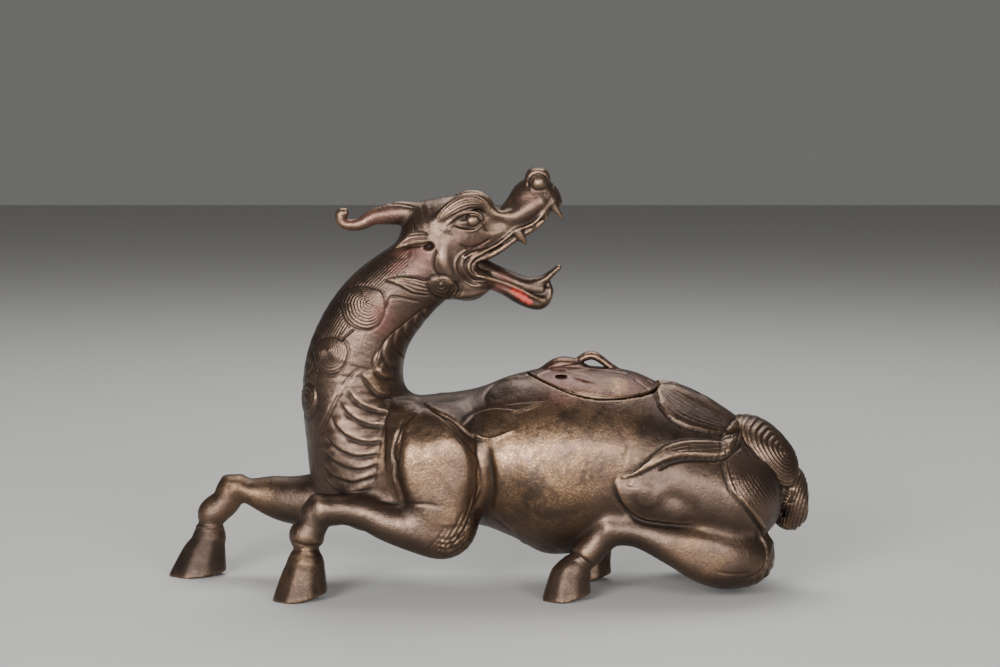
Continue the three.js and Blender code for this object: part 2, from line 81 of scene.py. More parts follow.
def behind(across, down, y):
    """Point of the drawn figure that is seen at a pixel and lies y millimetres back."""
    sight = -BACKWARD + np.array([(across - SHEET[0] / 2) / PIXELS, 0, 0])
    sight = sight - UPWARD * (down - SHEET[1] / 2) / PIXELS
    return EYE + sight * (y - EYE[1]) / sight[1]


lens = bpy.data.cameras.new("photograph_view")
lens.lens = LENS
lens.sensor_width = SENSOR
lens.clip_start = NEAREST_SEEN
camera = bpy.data.objects.new("photograph_view", lens)
camera.location = in_frame(EYE)
camera.rotation_euler = (math.pi / 2 - EYE_RISE, 0, 0)
bpy.context.scene.collection.objects.link(camera)
bpy.context.scene.camera = camera


# Body: trunk, legs, haunches and chest, cast hollow in bronze by lost wax. The wall is even under
# the back, and the mouth in it has a seat and a ledge for the lid. It is first formed smooth in
# clay, as a block of signed depths, then chased, and the skin of it is the metal's surface.
BODY_CELL = 0.62
BODY_TRIANGLES = 192000
WALL = 4.5
LEDGE_THICKNESS = 1.9
LEDGE_WIDTH = 3.2
LID_CLEARANCE = 0.4
LID_LENGTH = 51.0
LID_WIDTH = 50.4
LID_CENTRE_X = 46.5
SEAT_DEPTH = WALL - LEDGE_THICKNESS
SEAT_EASE = 0.1
HEAD_Y = -8.0
BODY_BLOCK = ((-126, -42, -1.2), (134, 42, 102))

# Stations of a limb: x, y, z, half width across and half depth
TRUNK = [
    (-55, 0, 45, 13, 13), (-50, 0, 47, 20, 20), (-40, 0, 49, 26, 26), (-20, 0, 49.6, 29, 25.8),
    (0, 0, 51.6, 31, 26.4), (14, 0, 51.8, 34.5, 31.2), (27, 0, 50, 37, 36), (40, 0, 50.5, 38, 36.5),
    (55, 0, 51, 37, 34.5), (70, 0, 50, 35, 30), (85, 0, 47, 33, 26.5), (100, 0, 43, 28, 23),
    (111, 0, 40, 19, 17),
]
NECK = [
    (-38, 0, 35, 24, 16.5), (-40, 0, 44, 26, 21.5), (-43, 0, 56, 26, 22), (-46, -1, 69, 23.5, 20.5),
    (-47, -2, 81, 20, 19.6), (-45.5, -4, 92, 17.5, 18.6), (-41, -5, 103, 16, 17.4),
    (-34.5, -7, 112, 14.5, 16.6), (-26, HEAD_Y, 120, 13, 15.2), (-16, HEAD_Y, 127.5, 12, 14),
]
NEAR_FORELEG = [
    [(-7.5, -22, 36, 8, 9), (-9.2, -26, 29, 9, 10.8), (-12.8, -27.5, 27, 10, 11.2),
     (-21.3, -28, 27.8, 9, 9.6), (-32.1, -28, 30, 7.6, 7.6), (-40.5, -28, 33.2, 6.4, 6.4),
     (-49, -28, 35, 6.2, 6), (-57.5, -28, 34.8, 6.3, 5.8)],
    [(-57.8, -28, 37, 5.8, 5.6), (-60, -28, 33, 5.8, 6.2), (-61.6, -28, 28.5, 5.4, 5.8),
     (-63.8, -28, 24.6, 5.9, 6.8), (-63.9, -28, 20.2, 5, 4.8), (-64.4, -28, 15.4, 6.8, 6.6)],
]
FAR_FORELEG = [
    [(-34, 16, 40, 12, 13), (-48, 18, 35, 12, 12.5), (-62.1, 20, 31.2, 9.8, 11),
     (-72.5, 22, 30.8, 8.4, 9.6), (-81.5, 24, 32.2, 7.2, 8.1), (-90.2, 24.8, 34.0, 6.2, 5.2),
     (-95, 25, 35.7, 6.2, 5.2)],
    [(-96.4, 25, 36.9, 5.8, 5.6), (-97.6, 25, 34, 6, 6), (-99.8, 25, 29.6, 5.8, 5.8),
     (-105.0, 25, 25, 5.8, 6.0), (-106.0, 25, 20.8, 5.0, 4.7), (-106.6, 25, 16, 6.4, 6.4)],
]


class Clay:
    """A block of clay as depths on a grid of cells: below zero inside the form."""

    OPEN = 12.0
    MARGIN = 3.0
    EVENING = (0.5, -0.53) * 6

    def __init__(self, low, high, cell):
        self.cell = cell * 1
        self.low = np.array(low, float)
        count = np.ceil((np.array(high) - self.low) / self.cell).astype(int) + 1
        self.axes = [self.low[k] + self.cell * np.arange(count[k]) for k in range(3)]
        self.depth = np.full(count, self.OPEN, np.float32)

    def window(self, low, high):
        """The part of the block between two corners, and the places of its cells."""
        place = tuple(
            slice(*np.searchsorted(self.axes[k], (low[k], high[k]))) for k in range(3)
        )
        grid = np.meshgrid(*(self.axes[k][place[k]] for k in range(3)), indexing="ij", sparse=True)
        return place, grid

    def add(self, form, blend, turned=1):
        """Joins a form on, with a fillet about as wide as blend; turned is -1 in a cut."""
        low, high, depth = form
        place, grid = self.window(low - blend - self.MARGIN, high + blend + self.MARGIN)
        old = turned * self.depth[place]
        if old.size == 0:
            return
        new = depth(*grid).astype(np.float32)
        joined = np.minimum(old, new)
        if blend > 0:
            near = np.maximum(blend - np.abs(old - new), 0) / blend
            joined -= near * near * blend / 4
        self.depth[place] = turned * joined

    def cut(self, form, blend=0.0):
        """Takes a form away, with its edges eased by blend."""
        self.add(form, blend, -1)

    def sample(self, points):
        """Depth and its slope at points of the surface."""
        place = (points - self.low) / self.cell
        corner = np.clip(np.floor(place).astype(int), 0, np.array(self.depth.shape) - 2)
        f = place - corner
        value = np.zeros(len(points))
        slope = np.zeros((len(points), 3))
        for offset in np.ndindex(2, 2, 2):
            d = self.depth[tuple((corner + offset).T)]
            share = np.where(offset, f, 1 - f)
            sign = np.where(offset, 1, -1)
            value += d * share.prod(axis=1)
            slope[:, 0] += d * sign[0] * share[:, 1] * share[:, 2]
            slope[:, 1] += d * share[:, 0] * sign[1] * share[:, 2]
            slope[:, 2] += d * share[:, 0] * share[:, 1] * sign[2]
        return value, slope / self.cell

    def skin(self):
        """Points and four-cornered faces of the surface, one point in each cell it crosses.

        The points are then evened out, moved back onto the surface and smoothed a little.
        """
        inside = self.depth < 0
        size = np.array(inside.shape) - 1
        filled = np.zeros(size, np.uint8)
        for a, b, c in np.ndindex(2, 2, 2):
            filled += inside[a:a + size[0], b:b + size[1], c:c + size[2]]
        cells = np.argwhere((filled > 0) & (filled < 8))
        number = np.full(size, -1, np.int32)
        number[tuple(cells.T)] = np.arange(len(cells))
        total = np.zeros((len(cells), 3))
        hits = np.zeros(len(cells))
        for corner in np.ndindex(2, 2, 2):
            for axis in range(3):
                if corner[axis]:
                    continue
                start = self.depth[tuple((cells + corner).T)]
                step = np.eye(3, dtype=int)[axis]
                end = self.depth[tuple((cells + corner + step).T)]
                crossed = (start < 0) != (end < 0)
                share = start[crossed] / (start[crossed] - end[crossed])
                total[crossed] += cells[crossed] + np.array(corner) + share[:, None] * step
                hits[crossed] += 1
        points = self.low + self.cell * total / hits[:, None]
        faces = []
        for axis in range(3):
            u, v = np.eye(3, dtype=int)[[(axis + 1) % 3, (axis + 2) % 3]]
            run = [slice(1, -1)] * 3
            run[axis] = slice(0, -1)
            start = inside[tuple(run)]
            run[axis] = slice(1, None)
            end = inside[tuple(run)]
            edge = np.argwhere(start != end) + u + v
            ring = [number[tuple((edge + offset).T)] for offset in (-u - v, -v, 0 * u, -u)]
            face = np.stack(ring, axis=1)
            turned = ~start[tuple((edge - u - v).T)]
            face[turned] = face[turned][:, ::-1]
            faces.append(face)
        faces = np.concatenate(faces)
        links = np.concatenate([faces[:, [k, (k + 1) % 4]] for k in range(4)])
        for _ in range(2):
            points = 0.5 * points + 0.5 * averaged(points, links)
            for _ in range(2):
                value, slope = self.sample(points)
                points -= slope * (value / np.maximum((slope ** 2).sum(axis=1), 0.1))[:, None]
        for share in self.EVENING:
            points += share * (averaged(points, links) - points)
        return held(points), faces


def averaged(values, links):
    """Mean of each point's neighbours, over links that join two points each."""
    size = len(values)
    count = np.bincount(links.ravel(), minlength=size)
    columns = []
    for column in values.reshape(size, -1).T:
        total = np.bincount(links[:, 0], column[links[:, 1]], size)
        total += np.bincount(links[:, 1], column[links[:, 0]], size)
        columns.append(total / np.maximum(count, 1))
    return np.stack(columns, axis=1).reshape(values.shape)


REACH = np.array(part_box("qilin")[1]) * 1000 - SHIFT
REACH_GAP = 0.15
EASING = (2.0, 3.0, 1.6)


def held(points):
    """Points eased back where they would stand outside the size of the figure."""
    points = points.copy()
    for axis, room in enumerate(EASING):
        limit = REACH[axis] - REACH_GAP
        over = np.abs(points[:, axis]) - (limit - room)
        past = over > 0
        eased = limit - room + room * np.tanh(over[past] / room)
        points[past, axis] = np.sign(points[past, axis]) * eased
    return points


def normals_of(points, faces):
    """Direction in which the surface faces at each point."""
    a, b, c, d = (points[faces[:, k]] for k in range(4))
    upright = np.cross(c - a, d - b)
    total = np.zeros_like(points)
    for k in range(4):
        for axis in range(3):
            total[:, axis] += np.bincount(faces[:, k], upright[:, axis], len(points))
    return total / np.maximum(np.linalg.norm(total, axis=1), 1e-9)[:, None]


def traced(path, steps=8):
    """Smooth line through a few points, with so many steps between two of them."""
    path = np.array(path, float)
    ends = np.concatenate([[2 * path[0] - path[1]], path, [2 * path[-1] - path[-2]]])
    t = np.linspace(0, 1, steps, endpoint=False)[:, None]
    parts = []
    for k in range(len(path) - 1):
        p0, p1, p2, p3 = ends[k:k + 4]
        parts.append(0.5 * (2 * p1 + (p2 - p0) * t + (2 * p0 - 5 * p1 + 4 * p2 - p3) * t ** 2
                            + (3 * p1 - p0 - 3 * p2 + p3) * t ** 3))
    return np.concatenate(parts + [path[-1:]])


def smoothly(value, low, high):
    """Share from 0 at low to 1 at high, eased at both ends."""
    t = np.clip((value - low) / (high - low), 0, 1)
    return t * t * (3 - 2 * t)


class Limb:
    """Curve through stations with an oval section, wide along its across direction."""

    def __init__(self, stations, steps=5):
        line = traced(stations, steps)
        self.place = line[:, :3]
        self.wide = line[:, 3]
        self.deep = line[:, 4]
        along = np.gradient(self.place, axis=0)
        self.along = along / np.linalg.norm(along, axis=1)[:, None]
        across = np.array([0.0, 1.0, 0.0]) - self.along * self.along[:, 1:2]
        self.across = across / np.linalg.norm(across, axis=1)[:, None]
        self.inward = np.cross(self.along, self.across)

    def form(self, grow=0.0, dome=0.6):
        """The limb as a form, grown all round, with domed ends."""
        reach = np.maximum(self.wide, self.deep)[:, None] + grow
        low = (self.place - reach).min(axis=0)
        high = (self.place + reach).max(axis=0)

        def depth(x, y, z):
            out = np.full((x.size, y.size, z.size), Clay.OPEN)
            for k in range(len(self.place) - 1):
                a, b = self.place[k], self.place[k + 1]
                thick = max(self.wide[k:k + 2].max(), self.deep[k:k + 2].max())
                spread = thick + grow + Clay.MARGIN + 1
                first = np.minimum(a, b) - spread
                last = np.maximum(a, b) + spread
                part = tuple(
                    slice(*np.searchsorted(axis.ravel(), (first[n], last[n])))
                    for n, axis in enumerate((x, y, z))
                )
                px = x[part[0]] - a[0]
                py = y[:, part[1]] - a[1]
                pz = z[:, :, part[2]] - a[2]
                if px.size * py.size * pz.size == 0:
                    continue
                step = b - a
                t = np.clip((px * step[0] + py * step[1] + pz * step[2]) / (step @ step), 0, 1)
                wide = self.wide[k] + (self.wide[k + 1] - self.wide[k]) * t + grow
                deep = self.deep[k] + (self.deep[k + 1] - self.deep[k]) * t + grow
                px, py, pz = px - t * step[0], py - t * step[1], pz - t * step[2]
                across = self.across[k] + self.across[k + 1]
                inward = self.inward[k] + self.inward[k + 1]
                along = self.along[k] + self.along[k + 1]
                axes = [axis / np.linalg.norm(axis) for axis in (across, inward, along)]
                short = dome * np.minimum(wide, deep)
                k0 = np.zeros(t.shape)
                k1 = np.zeros(t.shape)
                for axis, radius in zip(axes, (wide, deep, short)):
                    q = px * axis[0] + py * axis[1] + pz * axis[2]
                    k0 += (q / radius) ** 2
                    k1 += (q / radius ** 2) ** 2
                k0 = np.sqrt(k0)
                gap = k0 * (k0 - 1) / np.sqrt(np.maximum(k1, 1e-9))
                out[part] = np.minimum(out[part], gap)
            return out

        return low, high, depth


def ball(centre, radii, pitch=0.0):
    """Oval ball, its nose tipped down by pitch, in radians about Y."""
    centre = np.array(centre, float)
    radii = np.array(radii, float)
    c, s = math.cos(pitch), math.sin(pitch)

    def depth(x, y, z):
        dx, dy, dz = x - centre[0], y - centre[1], z - centre[2]
        k0 = np.zeros(np.broadcast(dx, dy, dz).shape)
        k1 = np.zeros(k0.shape)
        for q, radius in zip((dx * c - dz * s, dy, dx * s + dz * c), radii):
            k0 = k0 + (q / radius) ** 2
            k1 = k1 + (q / radius ** 2) ** 2
        k0 = np.sqrt(k0)
        return k0 * (k0 - 1) / np.sqrt(np.maximum(k1, 1e-9))

    return centre - radii.max(), centre + radii.max(), depth


HEEL_LIFT = 0.28
SOLE_BREADTH = 0.42
CROWN_BREADTH = 0.46
FACET_CRISPNESS = 14
FACET_SLANT = 1.38
CLEFT_WIDTH = 1.3
CLEFT_FROM = 2.5
HEEL_FROM = 0.45
CORONET_FLARE = 0.7


def hoof(toe, heel, side, coronet, lift=HEEL_LIFT):
    """Cloven hoof: eight eased facets from the sole up to the coronet, its heel off the ground."""
    front, back, top = coronet
    sole = ((toe + heel) / 2, (heel - toe) / 2, (heel - toe) * SOLE_BREADTH)
    crown = ((front + back) / 2, (back - front) / 2, (back - front) * CROWN_BREADTH)
    low = np.array([toe - 1.0, side - sole[2] - 1, 0.0])
    high = np.array([heel + 1.0, side + sole[2] + 1, top + 2.0])

    def depth(x, y, z):
        t = np.clip(z / top, 0, 1.06)
        t = t ** 1.1 + CORONET_FLARE * t ** 9
        middle, half, wide = (a + (b - a) * t for a, b in zip(sole, crown))
        floor = np.maximum(0, x - toe - HEEL_FROM * (heel - toe)) * lift
        across = np.abs(y - side) / wide
        along = np.abs(x - middle) / half
        slant = (across + along) / FACET_SLANT
        norm = sum(gap ** FACET_CRISPNESS for gap in (across, along, slant)) ** (1 / FACET_CRISPNESS)
        wall = (norm - 1) * half * 0.8
        split = np.sqrt((y - side) ** 2 + 0.3 * np.maximum(x - toe - CLEFT_FROM, 0) ** 2)
        return np.maximum(np.maximum(wall, CLEFT_WIDTH - split), np.maximum(floor - z, z - top - 1.0))

    return low, high, depth


def hind_leg(side, shift, foot):
    """Forms of a hind leg, folded under the haunch; near has side -1."""
    thigh = [
        (109, 20 * side, 21, 6.5, 6.5), (106.4, 23 * side, 14.8, 8.6, 9),
        (98.8, 26 * side, 15.4, 10, 11.6), (88.8, 28.5 * side, 17.6, 10, 11.2),
        (77 + shift / 2, 29 * side, 21.8, 8.2, 8.6), (63 + shift, foot, 26.4, 6.4, 6.2),
        (51.2 + shift, foot, 27.6, 6.4, 6.4),
    ]
    pastern = [
        (51.6 + shift, foot, 28, 5.8, 6), (47.4 + shift, foot, 22.8, 5.6, 5.8),
        (43.2 + shift, foot, 18, 5.8, 5.8), (40.6 + shift, foot, 15, 4.8, 4.9),
        (38.5 + shift, foot, 12, 6, 6.2),
    ]
    return [
        (ball((82, 18 * side, 41), (30, 18.5, 15), 0.12), 9),
        (ball((98, 16 * side, 36), (17, 18, 19), 0.4), 9),
        (Limb(thigh).form(), 4),
        (Limb(pastern).form(), 2),
        (ball((65.8, 33.5 * side, 41.8), (4.2, 3.6, 4.2)), 1.5),
        (ball((52 + shift, foot, 22.2), (2.2, 3, 2.2)), 0.8),
        (hoof(26 + shift, 45 + shift, foot, (30.4 + shift, 43.6 + shift, 15)), 2.2),
    ]


def trunk_skin(x):
    """Centre height, half width and half height of the trunk at x."""
    line = traced(TRUNK, 12)
    return [np.interp(x, line[:, 0], line[:, k]) for k in (2, 3, 4)]


BARREL_ROOM = (12.0, 40.0)
BARREL_HEIGHTS = (8.0, 92.0)


def barrel(first, last, grow=0.0):
    """The trunk between two of its stations, grown all round, with domed ends."""
    start, end = TRUNK[first], TRUNK[last]
    low = np.array([start[0] - BARREL_ROOM[0], -BARREL_ROOM[1], BARREL_HEIGHTS[0]])
    high = np.array([end[0] + BARREL_ROOM[0], BARREL_ROOM[1], BARREL_HEIGHTS[1]])

    def depth(x, y, z):
        centre, wide, deep = trunk_skin(x)
        wide = wide + grow
        deep = deep + grow
        past = np.maximum(np.maximum(start[0] - x, x - end[0]) / (0.5 * deep), 0)
        oval = (y / wide) ** 2 + ((z - centre) / deep) ** 2 + past ** 2
        slope = (y / wide ** 2) ** 2 + ((z - centre) / deep ** 2) ** 2 + (past * 2 / deep) ** 2
        k0 = np.sqrt(oval)
        return k0 * (k0 - 1) / np.sqrt(np.maximum(slope, 1e-6))

    return low, high, depth


def placed(rows, side=-1, middle=0.0):
    """Stations from rows of pixels, distance out from the middle, and two half widths."""
    stations = []
    for across, down, out, wide, deep in rows:
        x, y, z = behind(across, down, middle - out)
        stations.append((x, middle + side * out, z, wide, deep))
    return stations


# Muscles as seen: pixels across and down, how far out, half width across and half depth
UPPER_ARM = [
    (411, 420, 15, 4, 3), (410, 442, 27, 5, 4), (415, 464, 31.5, 5.4, 4.4), (424, 486, 32, 5.4, 4),
    (434, 506, 29, 4, 3),
]
ELBOW_RIDGE = [
    (446, 420, 16, 4, 4), (451, 442, 29, 4.6, 4.4), (452, 472, 34.4, 4.8, 4.4),
    (445, 503, 32.4, 4, 3.6),
]
# Pad of hair along the spine behind the lid, that the locks of the rump spring from
CREST = [
    (660, 389, 0, 5, 1.8), (669, 391, 0, 8, 3.0), (680, 395.5, 0, 9, 3.2), (690, 399.5, 0, 9, 3.4),
    (702, 404, 0, 9, 3.6), (714, 411, 0, 9, 3.4), (726, 418.5, 0, 8, 3.2), (738, 426.5, 0, 6, 2.8),
]
# Fills the hollow between the breast and the arm
CHEST_SIDE = [
    (399, 418, 19, 6, 5), (398, 446, 22, 6, 5), (399, 476, 22.5, 6, 5), (401, 506, 21, 6, 5),
]

# Every form of the body with the width of its fillet; the first four are the neck's as well
BODY_FORMS = [
    (barrel(0, 12), 0),
    (Limb(NECK, 3).form(), 7),
    (ball((-14, -23, 45), (15.6, 14.5, 27.5), -0.1), 6),
    (ball((-24, 22, 47), (19, 14.5, 23), 0.3), 6),
    *[(Limb(part).form(), 4 - 2 * k) for k, part in enumerate(NEAR_FORELEG)],
    *[(Limb(part).form(), 4 - 2 * k) for k, part in enumerate(FAR_FORELEG)],
    (Limb(placed(CHEST_SIDE)).form(), 8),
    (Limb(placed(UPPER_ARM)).form(), 10),
    (Limb(placed(ELBOW_RIDGE)).form(), 10),
    (Limb(placed(CREST)).form(), 4),
    (hoof(-77, -55.6, -28, (-70.8, -57.4, 17.6)), 2.0),
    (hoof(-122.8, -99.8, 25, (-112.6, -100.4, 18.4), 0.14), 2.0),
    *hind_leg(-1, 0, -28),
    *hind_leg(1, 9.5, 15),
]
LEAF_TAPER = 0.12


def leaf(grow):
    """Distance field, seen from above, of the lid's leaf outline grown all round."""
    def depth(x, y):
        along = (x - LID_CENTRE_X) / (LID_LENGTH / 2 + grow)
        half = LID_WIDTH / 2 * (1 - LEAF_TAPER * np.clip(-along, 0, 1) ** 2) + grow
        norm = np.sqrt(along ** 2 + (y / half) ** 2)
        return (norm - 1) * (LID_LENGTH / 2 + grow)
    return depth


def above_trunk(x, y, drop):
    """Height of the trunk's top skin over each place, less a drop."""
    centre, wide, high = trunk_skin(x)
    rise = np.sqrt(np.maximum(1 - (y / wide) ** 2, 0.02))
    return centre + high * rise - drop


MOUTH_ROOM = 32.0
MOUTH_HEIGHTS = (60.0, 100.0)


def vessel_mouth():
    """The seat for the lid, and through it the smaller mouth that opens the vessel."""
    low = np.array([LID_CENTRE_X - MOUTH_ROOM, -MOUTH_ROOM, MOUTH_HEIGHTS[0]])
    high = np.array([LID_CENTRE_X + MOUTH_ROOM, MOUTH_ROOM, MOUTH_HEIGHTS[1]])
    seat = leaf(LID_CLEARANCE + SEAT_EASE)
    mouth = leaf(-LEDGE_WIDTH)

    def depth(x, y, z):
        seat_floor = above_trunk(x, y, SEAT_DEPTH)
        well = np.maximum(mouth(x, y), MOUTH_HEIGHTS[0] - z)
        return np.minimum(np.maximum(seat(x, y), seat_floor - z), well)

    return low, high, depth


# Stations of the trunk between which it is hollow
HOLLOW = (2, 11)

body_clay = Clay(*BODY_BLOCK, BODY_CELL)
for form, blend in BODY_FORMS:
    body_clay.add(form, blend)
body_clay.cut(barrel(*HOLLOW, -WALL))
body_clay.cut(vessel_mouth(), 0.5)


class Sheet:
    """A mesh seen on the drawing sheet, and the height of what is chased on it, in millimetres."""

    def __init__(self, points, chased):
        self.place = on_sheet(points)
        self.chased = chased
        self.height = np.zeros(len(points))

    def near(self, path, reach):
        """Points within reach of a line: which, how far off, how far along it, and which side."""
        path = np.asarray(path, float)
        low = path.min(axis=0) - reach
        high = path.max(axis=0) + reach
        inside = self.chased & (self.place > low).all(axis=1) & (self.place < high).all(axis=1)
        which = np.flatnonzero(inside)
        spot = self.place[which]
        gap = np.full(len(which), 1e9)
        along = np.zeros(len(which))
        side = np.zeros(len(which))
        lengths = np.linalg.norm(np.diff(path, axis=0), axis=1)
        total = lengths.sum()
        run = 0.0
        for a, b, length in zip(path, path[1:], lengths):
            if length < 1e-6:
                continue
            step = (b - a) / length
            rest = spot - a
            t = np.clip(rest @ step, 0, length)
            off = rest - t[:, None] * step
            here = np.hypot(off[:, 0], off[:, 1])
            closer = here < gap
            gap[closer] = here[closer]
            along[closer] = (run + t[closer]) / total
            side[closer] = np.sign(step[0] * rest[closer, 1] - step[1] * rest[closer, 0])
            run += length
        keep = gap < reach
        return which[keep], gap[keep], along[keep], side[keep]

    def groove(self, path, width, depth, ends=0.12):
        """A line cut or pushed into the metal; a negative depth raises it."""
        which, gap, along, _ = self.near(traced(path), width * 2.4)
        fade = smoothly(np.minimum(along, 1 - along), -0.02, ends)
        self.height[which] -= depth * fade * np.exp(-(gap / width) ** 2 * 1.6)

    def edge(self, path, rise, inner, outer, ends=0.1):
        """A raised edge: the ground on the line's right stands up by rise and falls back inwards."""
        which, gap, along, side = self.near(traced(path), max(inner, outer) * 1.6)
        fade = smoothly(np.minimum(along, 1 - along), -0.02, ends)
        signed = gap * np.where(side == 0, 1, side)
        up = smoothly(signed, -0.6, 1.3) * (1 - smoothly(signed, 0.25 * inner, inner * 1.6))
        down = smoothly(-signed, -0.4, 0.8) * (1 - smoothly(-signed, 0.3 * outer, outer * 1.5))
        self.height[which] += fade * rise * (up - 0.55 * down)

    def lock(self, path, widths, height, hairs, depth, edge=1.5):
        """A raised tress with hair lines along it; widths are halves, in pixels, down its length."""
        line = traced(path)
        which, gap, along, side = self.near(line, max(widths) + 4)
        half = np.interp(along, np.linspace(0, 1, len(widths)), widths)
        v = gap * np.where(side == 0, 1, side) / np.maximum(half, 0.3)
        body = height * np.sqrt(np.clip(1 - v ** 4, 0, 1))
        rim = np.exp(-((np.abs(v) - 1) * half / edge) ** 2 * 2) * (np.abs(v) > 0.98) * 0.5 * height
        inside = (np.abs(v) < 1) & (along > 0) & (along < 1)
        lines = (0.5 - 0.5 * np.cos(math.pi * (v * hairs))) ** 0.6 - 1
        ease = smoothly(half, 1.0, 4.0) * (1 - smoothly(np.abs(v), 0.86, 1.0))
        start = smoothly(along, 0.0, 0.1)
        self.height[which] += np.where(inside, body + depth * lines * ease, -rim) * start

    def comb(self, path, widths, pitch, depth):
        """Hair combed along a line, over so many pixels on its right down its length."""
        line = traced(path)
        which, gap, along, side = self.near(line, max(widths) + 2)
        wide = np.interp(along, np.linspace(0, 1, len(widths)), widths)
        signed = gap * np.where(side == 0, 1, side)
        wave = (0.5 + 0.5 * np.cos(2 * math.pi * signed / pitch)) ** 1.6
        inside = smoothly(signed, -3.0, -1.0) * (1 - smoothly(signed, wide - 2.5, wide + 0.5))
        self.height[which] -= depth * wave * inside

    def whorl(self, outline, eye, rings, height, dome, turn=1, strands=1):
        """A roll of hair wound into its eye: strands follow an outline of any shape down to it."""
        eye = np.array(eye, float)
        rim = traced(list(outline) + [outline[0]]) - eye
        rim_angle = np.arctan2(rim[:, 1], rim[:, 0])
        order = np.argsort(rim_angle)
        spot = self.place - eye
        angle = np.arctan2(spot[:, 1], spot[:, 0])
        rim_reach = np.hypot(rim[order, 0], rim[order, 1])
        reach = np.interp(angle, rim_angle[order], rim_reach, period=2 * math.pi)
        away = np.hypot(spot[:, 0], spot[:, 1])
        which = np.flatnonzero(self.chased & (away < reach * 1.3 + 4))
        r = away[which] / reach[which]
        past = away[which] - reach[which]
        wound = r ** 0.85 * rings - turn * strands * angle[which] / (2 * math.pi)
        line = (0.5 + 0.5 * np.cos(2 * math.pi * wound)) ** 1.6
        line *= smoothly(r * rings, 0.25, 0.9)
        inside = 1 - smoothly(past, -1.2, 0.8)
        rise = dome * np.sqrt(np.clip(1 - r ** 3, 0, 1)) - height * line
        button = 0.7 * height * np.exp(-(r * rings / 0.7) ** 2)
        moat = -0.22 * (height + dome) * np.exp(-((past - 1.2) / 1.5) ** 2)
        self.height[which] *= smoothly(past, -1.0, 1.5)
        self.height[which] += inside * (rise + button) + moat


def within_trunk(points, wall):
    """Which points lie deeper than a wall's thickness under the trunk's skin."""
    centre, wide, high = trunk_skin(points[:, 0])
    oval = (points[:, 1] / (wide - wall)) ** 2 + ((points[:, 2] - centre) / (high - wall)) ** 2
    first, last = (TRUNK[station][0] for station in HOLLOW)
    return (oval < 1) & (points[:, 0] > first) & (points[:, 0] < last)


# Lines of the chest in pixels of the sheet, across and down, as all chased lines are
BREAST_RIBS = [
    [(374, 370), (382, 378), (392, 380)], [(362, 375), (371, 387), (379, 394), (394, 396.5)],
    [(347, 389), (356, 401), (370, 409), (391, 413)],
    [(339, 401), (348, 413), (359, 421), (371, 425), (388, 426)],
    [(331, 415.5), (339, 428.5), (351, 438), (366.5, 442), (384, 441)],
    [(324, 430), (334, 444), (347, 453), (360, 456), (381, 453.5)],
    [(321, 447), (333, 459), (348, 467), (362, 469), (380, 463.5)],
    [(321, 462), (333, 474), (347, 480.5), (357, 481), (378, 475)],
    [(324, 478), (336, 488), (350, 492), (372, 488)],
]
BREAST_LEFT = [
    (363.5, 366), (351, 378), (340.5, 393), (331, 412), (323, 430), (320.6, 447), (320.6, 464),
    (325, 493),
]
BREAST_RIGHT = [
    (390, 378), (391, 398), (388, 412), (383, 427), (380, 442), (377, 458), (376, 465), (374, 492),
]
BREAST_SEAM = [(400, 428.5), (392.6, 448), (395.6, 464), (395.6, 484)]
THROAT_PLATES = [
    [(424, 308), (423, 314), (427, 320)], [(415.5, 314), (414, 323), (420, 331)],
    [(406, 321.5), (404, 332), (410.5, 343)], [(397, 329), (394, 342), (399.5, 354), (405, 359)],
    [(387.5, 338), (383, 352), (388, 364), (397, 370)],
    [(379, 349), (374, 362), (379, 374), (391, 380)],
]
THROAT_BORDER = [(426, 307.5), (412.5, 317), (402, 326), (391, 335), (382, 346), (374, 366)]
BORDER_GAP = 3


def chase_chest(sheet):
    """Breast ribs, their borders and the row of plates up the throat."""
    for rib in BREAST_RIBS:
        sheet.edge(rib[::-1], rise=0.75, inner=13, outer=3, ends=0.14)
        sheet.groove(rib, width=0.8, depth=0.12, ends=0.14)
    sheet.groove(BREAST_LEFT, width=1.2, depth=0.3)
    sheet.groove([(x - BORDER_GAP, y) for x, y in BREAST_LEFT], width=1.2, depth=0.3)
    sheet.groove(BREAST_RIGHT, width=1.2, depth=0.35)
    sheet.groove(BREAST_SEAM, width=1.6, depth=0.5)
    for plate in THROAT_PLATES:
        sheet.edge(plate[::-1], rise=0.36, inner=7, outer=2.5, ends=0.2)
        sheet.groove(plate, width=0.8, depth=0.12, ends=0.15)
    sheet.groove(THROAT_BORDER, width=1.0, depth=0.25)


MANE_BACK = [
    (404, 228), (389, 243), (372, 259), (356, 275), (341, 291), (328, 308), (317, 326), (309, 345),
    (303, 366), (300, 388),
]
MANE_WIDTHS = [16, 18, 20, 24, 30, 34, 38, 36, 28, 12]
HAIR_PITCH = 2.5
# Coiled knobs of the mane: outline, eye and number of rings
MANE_KNOBS = [
    ([(340, 304), (347, 322), (363, 330), (378, 325), (385, 309), (382, 293), (371, 288), (357, 287),
      (345, 292)], (369, 302), 9.5),
    ([(313, 352), (318, 368), (330, 374.5), (342, 369), (348, 354), (344, 342), (334, 338),
      (322, 340)], (330, 350), 8),
    ([(301, 400), (304, 412), (310, 417), (316, 404), (315, 390), (308, 384), (302, 390)],
     (307, 398), 4),
]
KNOB_TOP = [(385, 310.6), (389.5, 298.4), (397, 297), (420, 302)]
KNOB_GAPS = [
    [(353.5, 329), (343.6, 338), (342, 341)],
    [(313, 367), (307, 376.4)],
]


